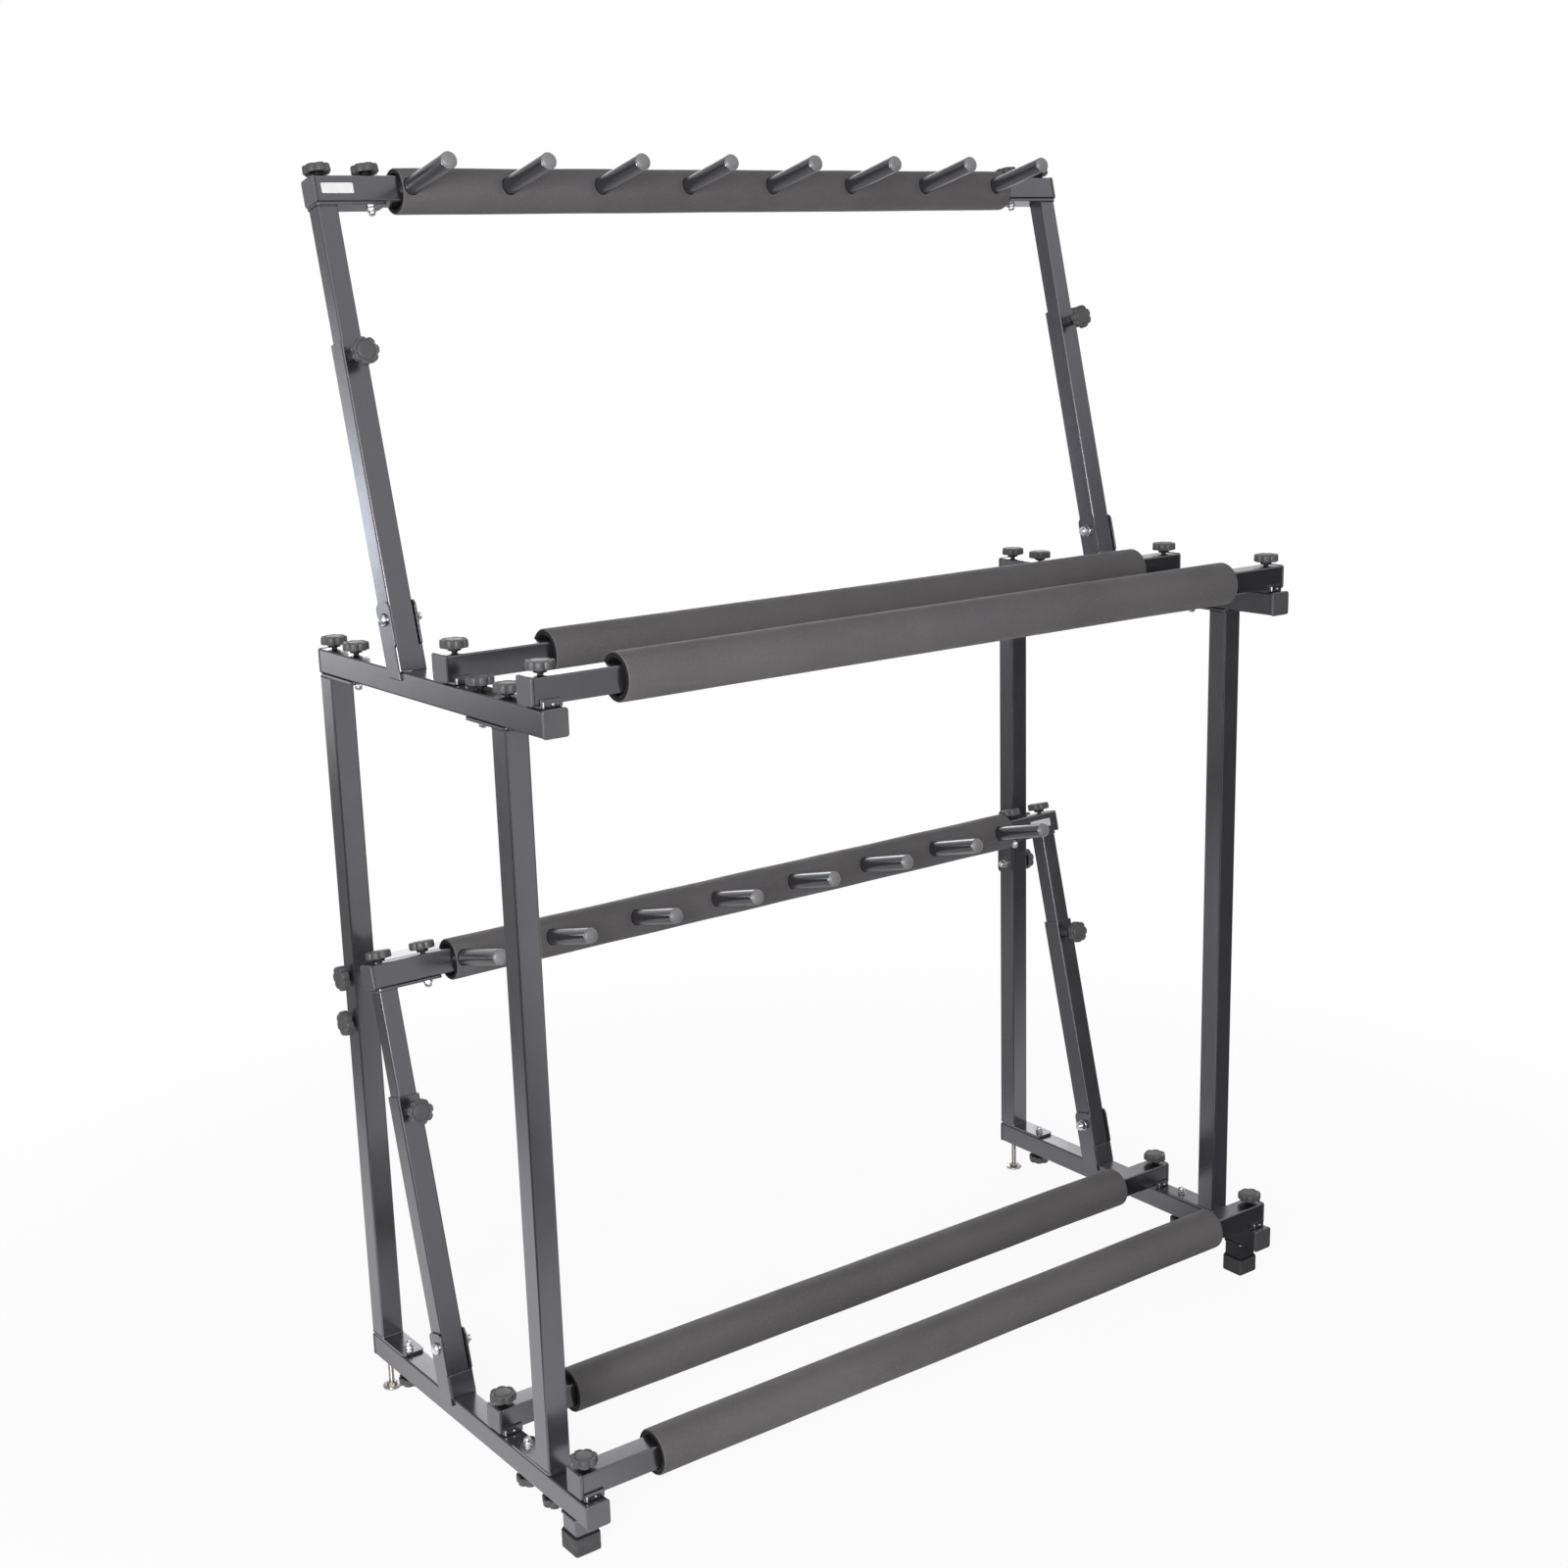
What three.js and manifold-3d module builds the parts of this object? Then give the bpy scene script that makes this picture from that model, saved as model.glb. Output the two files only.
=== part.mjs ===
// Two-tier display stand for rackets: a bolted frame of square steel tube with
// padded crossbars, and on each tier a leaning back frame that carries eight pegs.
// Lengths are in millimetres. X runs across, -Y is the front, +Z is up, and the
// origin is on the floor under the middle of the stand.
import * as THREE from 'three';
import { mergeVertices } from 'three/addons/utils/BufferGeometryUtils.js';
import Module from 'manifold-3d';

const wasm = await Module();
wasm.setup();

// Driving dimensions
const width = 955; // over the outer faces of the side rails
const depth = 450; // length of a side rail over its end plugs
const lowerRailTop = 64; // top face of the lower side rails
const tierRise = 764; // from the lower rail top to the upper rail top
const tube = 25; // square tube of the rails, posts, bars and outer struts
const tubeWall = 1.5;
const tubeRound = 2; // outer corners of that tube
const innerTube = 21; // square tube that slides in the outer strut
const innerRound = 1.6;
const plate = 3; // thickness of the welded end plates
const plateRound = 5;
const boltPitch = 50; // between the two bolts of an end plate
const seat = 0.3; // gap between pieces that touch
const overrun = 4; // how far a cut runs past what it cuts
const weld = 0.4; // how far a welded piece enters the one that carries it

// Places along the depth and the height
const frontPostInset = 82; // rail front end to the front post's axis
const frontBarInset = 23; // rail front end to the front crossbar's axis
const rearBarShare = 0.2911; // rear crossbar, on the way from the front post's second bolt to the pivot
const footInset = 36; // rail front end to the front foot's axis
const pivotSetback = 160; // rail rear end to the back frame's pivot
const upperOverLeft = 5; // upper crossbars past the side rail's outer face
const upperOverRight = 3;
const lowerBackOver = 4.5; // lower back bar past the side rails' outer faces
const stretcherRise = 416; // lower rail top to the stretcher's axis

// Back frames, measured along the strut from its pivot
const leanAngle = 14; // degrees back from upright
const pivotHeight = 47; // pivot above the rail's top face
const upperReach = 410; // pivot to the upper back bar's axis
const lowerReach = 393; // pivot to the lower back bar's axis
const strutTail = 40; // outer strut below the pivot
const strutTop = 266; // outer strut above the pivot
const innerLength = 280; // inner strut, from the back bar's axis down
const clampDrop = 16; // clamp screw below the outer strut's top

// Pegs, foam sleeves and labels
const pegCount = 8;
const pegInset = 99.5; // side rail's outer face to the first peg
const pegDiameter = 17;
const pegWall = 1.5;
const pegReach = 103; // from the back bar's axis to the peg's tip
const pegRound = 3;
const sleeveBore = 35;
const pegHolePlay = 0.5; // around a peg in its sleeve
const crossSleeve = 46; // outside diameter on the crossbars
const crossSleeveInset = 85.5; // side rail's outer face to sleeve end
const backSleeve = 44; // outside diameter on the back bars
const backSleeveInset = 83.5; // side rail's outer face to sleeve end
const crossSlip = 3; // how far the crossbar sleeves sit to the right of the middle
const upperRearSlip = 22; // the same for the upper rear one
const backSlip = 6; // the same for the back bar sleeves
const labelLength = 33;
const labelWidth = 10;
const labelThickness = 0.5;
const labelInset = 8; // from the side rail's outer face

// Fasteners
const studDiameter = 6;
const studPlay = 0.4; // around a stud in its hole
const boltHead = 8.5;
const boltHeadHeight = 8;
const boltDomeShare = 0.5; // top of a domed head as a share of its foot
const boltSideShare = 0.55; // straight side of a bolt head as a share of its height
const knobDiameter = 26;
const knobHeight = 8;
const knobDraft = 0.9; // the head narrows by this much towards its top
const knobHub = 13;
const knobHubHeight = 4.5;
const knobLobes = 7;
const knobValleyShare = 0.85; // valley radius as a share of the lobe radius
const knobFlatShare = 0.2; // half of a lobe's flat as a share of the lobe pitch
const weldNut = 11;
const weldNutHeight = 5;
const clampNut = 13; // welded to the outer strut's front face
const clampNutHeight = 8;
const clampHubHeight = 9.5; // hub of the clamp knob
const pivotBolt = 8;
const pivotPlay = 0.4;
const pivotHead = 14;
const pivotHeadHeight = 4;
const pivotNut = 13;
const pivotNutHeight = 6.5;
const pivotTail = 3; // thread left past the nut

// Strut bracket and crossbar saddle, both of bent sheet
const sheet = 2;
const bracketAbove = 16; // flange above the pivot, along the strut
const bracketRound = 6;
const bracketOverlap = 8; // flange down the rail's side
const stopHeight = 20; // front web above the rail's top face
const saddleBase = 2.5;
const saddleLip = 8; // above the rail's top face
const saddleInset = 3; // from the rail's outer face
const weldSpot = 2.6; // diameter of the weld spots in front of the saddle's lip
const weldSpotHeight = 0.8;
const weldSpotRise = 2.8; // above the rail's top face
const weldSpotInsets = [5, 15]; // from the rail's outer face

// Plugs, feet and levellers
const plugHead = 3;
const plugBevel = 1;
const footCapWall = 1.2;
const footCapHeight = 21;
const footCapFloor = 3;
const footCapRound = 3;
const levellerDisc = 20;
const levellerDiscHeight = 3;
const levellerLength = 96;
const levellerNut = 10;
const levellerNutHeight = 4;
const vent = 4; // drain hole low on each post and under the stretcher

// Facet counts
const sleeveSides = 16;
const boreSides = 8;
const pegSides = 10;
const discSides = 12;
const hexagon = 6;
const cornerSteps = 1;

// Derived places
const half = tube / 2;
const sideX = width / 2 - half;
const lean = THREE.MathUtils.degToRad(leanAngle);
const upperRailTop = lowerRailTop + tierRise;
const frontEnd = -depth / 2;
const frontPostY = frontEnd + frontPostInset;
const rearPostY = depth / 2 - half;
const frontBarY = frontEnd + frontBarInset;
const footY = frontEnd + footInset;
const pivotY = depth / 2 - pivotSetback;
const rearBarY = THREE.MathUtils.lerp(frontPostY + boltPitch, pivotY, rearBarShare);
const barLift = saddleBase + seat + half; // crossbar axis above the rail's top face
const stretcherZ = lowerRailTop + stretcherRise;
const plateLength = boltPitch + tube;
const pegPitch = (width - 2 * pegInset) / (pegCount - 1);
const boltHole = studDiameter + 2 * studPlay;
const pivotHole = pivotBolt + 2 * pivotPlay;
const farCut = tube + overrun; // past both faces of a tube, measured from its axis
const acrossStud = tube + 2 * seat + weld; // through a tube and into the plate behind it

const quarter = Math.PI / 2;
const sides = { left: -1, right: 1 };
const tiers = { upper: upperRailTop, lower: lowerRailTop };
const reaches = { upper: upperReach, lower: lowerReach };

// Finishes
const steel = { color: 0x26282b, roughness: 0.42, metalness: 0.35 };
const plastic = { color: 0x1d1e20, roughness: 0.55, metalness: 0 };
const foam = { color: 0x454344, roughness: 0.95, metalness: 0 };
const rubber = { color: 0x1b1b1c, roughness: 0.8, metalness: 0 };
const zinc = { color: 0xc9cbcd, roughness: 0.28, metalness: 0.95 };
const paper = { color: 0xe8e8e4, roughness: 0.6, metalness: 0 };

const stand = new THREE.Group();

// A manifold solid from a closed geometry
function solid(body) {
  if (!body.isBufferGeometry) return body;
  const bare = body.clone();
  bare.deleteAttribute('normal');
  bare.deleteAttribute('uv');
  const merged = mergeVertices(bare);
  const corners = merged.index.array;
  const kept = [];
  for (let i = 0; i < corners.length; i += 3) {
    const [a, b, c] = [corners[i], corners[i + 1], corners[i + 2]];
    if (a !== b && b !== c && c !== a) kept.push(a, b, c);
  }
  return new wasm.Manifold(new wasm.Mesh({
    numProp: 3,
    vertProperties: new Float32Array(merged.attributes.position.array),
    triVerts: new Uint32Array(kept),
  }));
}

function join(...bodies) {
  return bodies.map(solid).reduce((a, b) => a.add(b));
}

function cut(body, ...tools) {
  return tools.map(solid).reduce((a, b) => a.subtract(b), solid(body));
}

function toGeometry(body) {
  const mesh = solid(body).getMesh();
  const geometry = new THREE.BufferGeometry();
  const points = new Float32Array(mesh.vertProperties);
  geometry.setAttribute('position', new THREE.BufferAttribute(points, 3));
  geometry.setIndex(new THREE.BufferAttribute(new Uint32Array(mesh.triVerts), 1));
  geometry.computeVertexNormals();
  return geometry;
}

function named(name, body, finish, place = [0, 0, 0], turn = [0, 0, 0], parent = stand) {
  const mesh = new THREE.Mesh(toGeometry(body), new THREE.MeshStandardMaterial(finish));
  mesh.name = name;
  mesh.position.set(...place);
  mesh.rotation.set(...turn);
  parent.add(mesh);
}

function moved(body, place, turn = [0, 0, 0]) {
  const matrix = new THREE.Matrix4().makeRotationFromEuler(new THREE.Euler(...turn));
  return toGeometry(body).applyMatrix4(matrix).translate(...place);
}

// A body drawn for the left side, kept or mirrored for the right side
function handed(body, s) {
  const geometry = toGeometry(body);
  if (s < 0) return geometry;
  geometry.scale(-1, 1, 1).index.array.reverse();
  return geometry;
}

// A shape made along z is turned to its axis, then set at the places a and b
// across that axis, in the order x, y, z.
function along(axis, body, a, b) {
  if (axis === 'x') return body.rotateY(quarter).translate(0, a, b);
  if (axis === 'y') return body.rotateX(-quarter).translate(a, 0, b);
  return body.translate(a, b, 0);
}

function block(sizeX, sizeY, sizeZ, x, y, z) {
  return new THREE.BoxGeometry(sizeX, sizeY, sizeZ).translate(x, y, z);
}

// A turned solid from diameters and their places along z
function turned(count, ...profile) {
  const rings = profile.map(([diameter, z]) => new THREE.Vector2(diameter / 2, z));
  const start = new THREE.Vector2(0, profile[0][1]);
  const end = new THREE.Vector2(0, profile.at(-1)[1]);
  return new THREE.LatheGeometry([start, ...rings, end], count).rotateX(quarter);
}

function rod(axis, diameter, from, to, a, b, count = hexagon) {
  return along(axis, turned(count, [diameter, from], [diameter, to]), a, b);
}

// A rectangle with its corners cut
function softOutline(sizeA, sizeB, radius) {
  const points = [];
  [[1, -1], [1, 1], [-1, 1], [-1, -1]].forEach(([p, q], corner) => {
    for (let i = 0; i <= cornerSteps; i += 1) {
      const angle = (corner - 1 + i / cornerSteps) * quarter;
      points.push(new THREE.Vector2(p * (sizeA / 2 - radius) + radius * Math.cos(angle),
        q * (sizeB / 2 - radius) + radius * Math.sin(angle)));
    }
  });
  return points;
}

// A closed solid through a stack of outlines, each with its own height
function loft(...rings) {
  const count = rings[0][0].length;
  const points = rings.flatMap(([outline, z]) => outline.flatMap((p) => [p.x, p.y, z]));
  const faces = [];
  for (let ring = 0; ring + 1 < rings.length; ring += 1) {
    for (let i = 0; i < count; i += 1) {
      const [a, b] = [ring * count + i, ring * count + (i + 1) % count];
      faces.push(a, b, b + count, a, b + count, a + count);
    }
  }
  const last = (rings.length - 1) * count;
  THREE.ShapeUtils.triangulateShape(rings[0][0], []).forEach(([a, b, c]) => faces.push(c, b, a));
  THREE.ShapeUtils.triangulateShape(rings.at(-1)[0], [])
    .forEach(([a, b, c]) => faces.push(last + a, last + b, last + c));
  const geometry = new THREE.BufferGeometry();
  geometry.setAttribute('position', new THREE.BufferAttribute(new Float32Array(points), 3));
  geometry.setIndex(faces);
  return geometry;
}

function bar(axis, sizeA, sizeB, radius, from, to, a, b) {
  const outline = softOutline(sizeA, sizeB, radius);
  return along(axis, loft([outline, from], [outline, to]), a, b);
}

// An open square tube
function openTube(axis, size, radius, from, to, a, b) {
  const bore = size - 2 * tubeWall;
  const length = to - from + 2 * overrun;
  return cut(bar(axis, size, size, radius, from, to, a, b),
    along(axis, block(bore, bore, length, 0, 0, (from + to) / 2), a, b));
}

// A square tube closed by a bevelled plug at each end
function pluggedTube(axis, from, to, a, b) {
  const bore = tube - 2 * tubeWall;
  const outline = softOutline(tube, tube, tubeRound);
  const tip = softOutline(tube - 2 * plugBevel, tube - 2 * plugBevel, tubeRound - plugBevel / 2);
  const body = loft([tip, from], [outline, from + plugBevel], [outline, to - plugBevel], [tip, to]);
  const hollow = block(bore, bore, to - from - 2 * plugHead, 0, 0, (from + to) / 2);
  return cut(along(axis, body, a, b), along(axis, hollow, a, b));
}

function knobOutline(radius) {
  const points = [];
  for (let lobe = 0; lobe < knobLobes; lobe += 1) {
    [[-1 / 2, knobValleyShare], [-knobFlatShare, 1], [knobFlatShare, 1]].forEach(([turn, share]) => {
      const angle = (lobe + turn) * 4 * quarter / knobLobes;
      points.push(new THREE.Vector2(radius * share * Math.cos(angle), radius * share * Math.sin(angle)));
    });
  }
  return points;
}

// A star knob that stands on z = 0 and points up, with its stud below
function knob(studLength, hubHeight = knobHubHeight, ...more) {
  const rim = knobOutline(knobDiameter / 2);
  const crown = knobOutline(knobDiameter / 2 - knobDraft);
  return join(loft([rim, hubHeight], [crown, hubHeight + knobHeight]),
    rod('z', knobHub, 0, hubHeight + weld, 0, 0, boreSides),
    rod('z', studDiameter, -studLength, weld, 0, 0), ...more);
}

// Bolt head that lies under z = 0 and points down
const headDown = turned(boreSides, [boltHead * boltDomeShare, -boltHeadHeight],
  [boltHead, -boltHeadHeight * boltSideShare], [boltHead, 0]);

// Sheet bracket that leans with the strut; its front web is what the strut rests on
function strutBracket(top) {
  const inner = half + seat;
  const lip = seat + sheet;
  const tail = (pivotHeight + bracketOverlap) / Math.cos(lean) + half * Math.tan(lean);
  const flange = (x) => bar('x', bracketAbove + tail, tube + lip, bracketRound, x, x + sheet,
    -lip / 2, (bracketAbove - tail) / 2);
  const webTop = (stopHeight - pivotHeight) / Math.cos(lean);
  const web = block(2 * (inner + weld), sheet, webTop + tail, 0, -inner - sheet / 2,
    (webTop - tail) / 2);
  const leaned = moved(join(flange(inner), flange(-inner - sheet), web),
    [0, pivotY, top + pivotHeight], [-lean, 0, 0]);
  const middle = top - bracketOverlap / 2;
  const foot = pivotY - (top + pivotHeight - middle) * Math.tan(lean);
  const bead = (s) => block(2 * weld + seat, half, bracketOverlap, s * (half + seat / 2), foot, middle);
  return join(cut(leaned, block(width, depth, depth, 0, 0, top - bracketOverlap - depth / 2),
    block(2 * inner, depth, depth, 0, 0, top + seat - depth / 2)), bead(-1), bead(1));
}

// Bent sheet seat for a crossbar, with its two weld spots at the front
function saddle(top, y) {
  const face = y - half - seat - sheet;
  const across = tube - saddleInset;
  const x = saddleInset / 2;
  const base = block(across, tube + seat + sheet, saddleBase + weld, x, face + (y + half - face) / 2,
    top + (saddleBase - weld) / 2);
  const lip = block(across, sheet, saddleLip + weld, x, face + sheet / 2, top + (saddleLip - weld) / 2);
  const spots = weldSpotInsets.map((inset) => rod('y', weldSpot, face - weldSpotHeight,
    face + weld, inset - half, top + weldSpotRise));
  return join(base, lip, ...spots);
}

function sideRail(tier, side, s) {
  const top = tiers[tier];
  const barPlaces = [frontBarY, rearBarY];
  const postPlaces = [frontPostY, frontPostY + boltPitch, rearPostY, rearPostY - boltPitch];
  const nutTop = top - tubeWall + weld;
  const rail = join(pluggedTube('y', frontEnd, -frontEnd, 0, top - half), strutBracket(top),
    ...barPlaces.map((y) => saddle(top, y)),
    ...barPlaces.map((y) => rod('z', weldNut, nutTop - weldNutHeight, nutTop, 0, y)));
  const drilled = cut(rail,
    ...postPlaces.map((y) => rod('z', boltHole, top - farCut, top + overrun, 0, y)),
    ...barPlaces.map((y) => rod('z', boltHole, nutTop - weldNutHeight - overrun,
      top + saddleBase + overrun, 0, y)),
    rod('x', pivotHole, -farCut, farCut, pivotY, top + pivotHeight, boreSides));
  const stub = openTube('z', tube, tubeRound, footCapFloor + seat, lowerRailTop - tube + weld, 0, footY);
  const body = tier === 'lower' ? join(drilled, stub) : drilled;
  named(`${tier}_${side}_side_rail`, handed(body, s), steel, [s * sideX, 0, 0]);
}

// Posts with their end plates and with the bolts and knobs that hold them
function posts(place, y, reach) {
  const low = lowerRailTop + seat;
  const high = upperRailTop - tube - seat;
  const second = reach * boltPitch;
  const endPlate = (from) => bar('z', tube, plateLength, plateRound, from, from + plate, 0, second / 2);
  const knobUp = (at) => moved(knob(acrossStud), [0, at, upperRailTop + seat]);
  const knobDown = (at) => moved(knob(acrossStud), [0, at, lowerRailTop - tube - seat],
    [2 * quarter, 0, 0]);
  const headUnder = moved(headDown, [0, second, high - plate + weld]);
  const headOver = moved(headDown, [0, second, low + plate - weld], [2 * quarter, 0, 0]);
  const frame = join(openTube('z', tube, tubeRound, low + plate - weld, high - plate + weld, 0, 0),
    endPlate(low), endPlate(high - plate));
  const drained = cut(frame, rod('x', vent, 0, farCut, 0, low + plate + half));
  const rearHoles = [rod('z', boltHole, low - overrun, low + plate + overrun, 0, 0),
    ...[0, boltPitch].map((drop) => rod('x', boltHole, -farCut, farCut, 0, stretcherZ - drop))];
  const base = place === 'rear' ? cut(drained, ...rearHoles) : join(drained, knobDown(0));
  const body = join(base, knobUp(0), knobUp(second), knobDown(second), headUnder, headOver);
  Object.entries(sides).forEach(([side, s]) => {
    named(`${place}_${side}_post`, handed(body, s), steel, [s * sideX, y, 0]);
  });
}

// Stretcher between the rear posts, with two bolts and knobs at each end
function stretcher() {
  const end = sideX - half - seat;
  const ends = Object.values(sides).flatMap((s) => {
    const from = s < 0 ? -end : end - plate;
    const knobAt = (drop) => moved(knob(acrossStud), [s * (sideX + half + seat), 0, -drop],
      [0, s * quarter, 0]);
    return [bar('x', plateLength, tube, plateRound, from, from + plate, 0, -boltPitch / 2),
      knobAt(0), knobAt(boltPitch),
      moved(headDown, [s * (end - plate + weld), 0, -boltPitch], [0, s * quarter, 0])];
  });
  const beam = openTube('x', tube, tubeRound, -end + plate - weld, end - plate + weld, 0, 0);
  named('rear_stretcher', cut(join(beam, ...ends), rod('z', vent, -farCut, 0, 0, 0)), steel,
    [0, rearPostY, stretcherZ]);
}

function sleeve(diameter, length) {
  const end = length / 2;
  return cut(rod('x', diameter, -end, end, 0, 0, sleeveSides),
    rod('x', sleeveBore, -end - overrun, end + overrun, 0, 0, boreSides));
}

// Crossbar with its foam sleeve and the knobs that hold it
function crossbar(tier, place, y) {
  const z = tiers[tier] + barLift;
  const over = tier === 'upper' ? [upperOverLeft, upperOverRight] : [0, 0];
  const holes = Object.values(sides).map((s) => rod('z', boltHole, -farCut, farCut, s * sideX, 0));
  named(`${tier}_${place}_crossbar`,
    cut(pluggedTube('x', -width / 2 - over[0], width / 2 + over[1], 0, 0), ...holes), steel, [0, y, z]);
  const slip = tier === 'upper' && place === 'rear' ? upperRearSlip : crossSlip;
  named(`${tier}_${place}_crossbar_sleeve`, sleeve(crossSleeve, width - 2 * crossSleeveInset), foam,
    [slip, y, z]);
  const stud = tube + 2 * seat + saddleBase + tubeWall + weldNutHeight;
  Object.entries(sides).forEach(([side, s]) => {
    named(`${tier}_${place}_${side}_crossbar_knob`, knob(stud), plastic,
      [s * sideX, y, z + half + seat]);
  });
}

// Back frame in its own leaning group: the origin is on the pivot, z runs up the strut
function backFrame(tier, labelSide) {
  const reach = reaches[tier];
  const frame = new THREE.Group();
  frame.position.set(0, pivotY, tiers[tier] + pivotHeight);
  frame.rotation.x = -lean;
  stand.add(frame);
  const add = (name, body, finish, place, turn) => named(name, body, finish, place, turn, frame);

  const pegs = Array.from({ length: pegCount }, (_, i) => (i - (pegCount - 1) / 2) * pegPitch);
  const barBolts = Object.values(sides).flatMap((s) => [0, boltPitch].map((inset) => rod('z',
    boltHole, -farCut, farCut, s * (sideX - inset), 0)));
  const peg = turned(pegSides, [pegDiameter - 2 * pegRound, -pegReach],
    [pegDiameter, pegRound - pegReach], [pegDiameter, tubeWall - half - weld]);
  const pegBore = pegDiameter - 2 * pegWall;
  const end = width / 2 + (tier === 'lower' ? lowerBackOver : 0);
  const back = join(pluggedTube('x', -end, end, 0, 0),
    ...pegs.map((x) => along('y', peg.clone(), x, 0)));
  add(`${tier}_back_bar`, cut(back, ...barBolts,
    ...pegs.map((x) => rod('y', pegBore, plugHead - pegReach, 0, x, 0))), steel, [0, 0, reach]);

  const pegHoles = pegs.map((x) => rod('y', pegDiameter + 2 * pegHolePlay, -backSleeve, 0,
    x - backSlip, 0, pegSides));
  add(`${tier}_back_sleeve`, cut(sleeve(backSleeve, width - 2 * backSleeveInset), ...pegHoles), foam,
    [backSlip, 0, reach]);
  add(`${tier}_back_bar_label`, block(labelLength, labelThickness, labelWidth, 0, 0, 0), paper,
    [labelSide * (width / 2 - labelInset - labelLength / 2), -half - seat - labelThickness / 2, reach]);

  Object.entries(sides).forEach(([side, s]) => {
    const x = s * sideX;
    const clampZ = strutTop - clampDrop;
    const strut = join(openTube('z', tube, tubeRound, -strutTail, strutTop, 0, 0),
      rod('y', clampNut, -half - clampNutHeight, weld - half, 0, clampZ));
    add(`${tier}_${side}_outer_strut`, cut(strut, rod('x', pivotHole, -farCut, farCut, 0, 0, boreSides),
      rod('y', boltHole, -farCut, 0, 0, clampZ, boreSides)), steel, [x, 0, 0]);

    const under = -half - seat;
    const head = bar('z', plateLength, tube, plateRound, under - plate, under, boltPitch / 2, 0);
    const bolts = [0, boltPitch].map((inset) => rod('z', boltHole, under - plate - overrun,
      under + overrun, inset, 0));
    const slider = openTube('z', innerTube, innerRound, -innerLength, under - plate + weld, 0, 0);
    add(`${tier}_${side}_inner_strut`, handed(cut(join(slider, head), ...bolts), s), steel,
      [x, 0, reach]);

    const stud = tube + 2 * seat + plate + seat + weld;
    const studEnd = moved(headDown, [0, 0, weld - stud]);
    [['outer', 0], ['inner', boltPitch]].forEach(([spot, inset]) => {
      add(`${tier}_${side}_${spot}_bar_knob`, knob(stud, knobHubHeight, studEnd), plastic,
        [s * (sideX - inset), 0, reach + half + seat]);
    });
    add(`${tier}_${side}_clamp_knob`, knob(clampNutHeight + (tube - innerTube) / 2, clampHubHeight),
      plastic, [x, -half - clampNutHeight - seat, clampZ], [quarter, 0, 0]);
  });
}

// Pivot bolts, headed on the outside of the brackets and nutted on the inside
function pivots(tier) {
  const face = half + seat + sheet + seat;
  const nutEnd = face + pivotNutHeight;
  const bolt = join(turned(boreSides, [pivotBolt, -nutEnd - pivotTail], [pivotBolt, face],
    [pivotHead, face], [pivotHead * boltDomeShare, face + pivotHeadHeight]),
    rod('z', pivotNut, -nutEnd, -face, 0, 0));
  Object.entries(sides).forEach(([side, s]) => {
    named(`${tier}_${side}_pivot_bolt`, bolt, zinc, [s * sideX, pivotY, tiers[tier] + pivotHeight],
      [0, s * quarter, 0]);
  });
}

// Rubber caps on the front stubs and screw-in levellers under the rear posts
function feet() {
  const pocket = tube + 2 * seat;
  const across = pocket + 2 * footCapWall;
  const cap = cut(bar('z', across, across, footCapRound, 0, footCapHeight, 0, 0),
    block(pocket, pocket, footCapHeight, 0, 0, footCapFloor + footCapHeight / 2));
  const nutTop = levellerDiscHeight + levellerNutHeight;
  const leveller = join(rod('z', levellerDisc, 0, levellerDiscHeight, 0, 0, discSides),
    rod('z', levellerNut, levellerDiscHeight - weld, nutTop, 0, 0),
    rod('z', studDiameter, nutTop - weld, levellerLength, 0, 0));
  Object.entries(sides).forEach(([side, s]) => {
    named(`${side}_front_foot_cap`, cap, rubber, [s * sideX, footY, 0]);
    named(`${side}_rear_leveller`, leveller, zinc, [s * sideX, rearPostY, 0]);
  });
}

Object.keys(tiers).forEach((tier) => {
  Object.entries(sides).forEach(([side, s]) => sideRail(tier, side, s));
  crossbar(tier, 'front', frontBarY);
  crossbar(tier, 'rear', rearBarY);
  backFrame(tier, tier === 'upper' ? sides.left : sides.right);
  pivots(tier);
});
posts('front', frontPostY, 1);
posts('rear', rearPostY, -1);
stretcher();
feet();

export default stand;
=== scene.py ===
"""Looks for the racket display stand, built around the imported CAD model.

Shapes are drawn in millimetres in the CAD's own frame and scaled to metres once,
where each mesh is made.
"""
import math
import random

import bmesh
import bpy
from mathutils import Matrix, Vector


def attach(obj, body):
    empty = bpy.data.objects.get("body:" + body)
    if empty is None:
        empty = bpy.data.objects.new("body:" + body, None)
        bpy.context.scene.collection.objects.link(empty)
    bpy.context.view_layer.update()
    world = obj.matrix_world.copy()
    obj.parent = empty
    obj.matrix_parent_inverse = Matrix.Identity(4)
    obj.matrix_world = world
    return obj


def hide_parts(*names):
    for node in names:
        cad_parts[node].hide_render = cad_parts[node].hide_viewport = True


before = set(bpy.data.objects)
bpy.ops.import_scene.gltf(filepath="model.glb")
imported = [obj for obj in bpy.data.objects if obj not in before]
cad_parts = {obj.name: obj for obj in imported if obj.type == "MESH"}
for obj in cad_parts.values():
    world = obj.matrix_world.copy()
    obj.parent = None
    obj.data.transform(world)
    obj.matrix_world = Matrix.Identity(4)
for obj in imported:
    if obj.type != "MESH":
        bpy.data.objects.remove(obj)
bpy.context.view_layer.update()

MM = 0.001
SHARP = math.radians(40)

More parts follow.
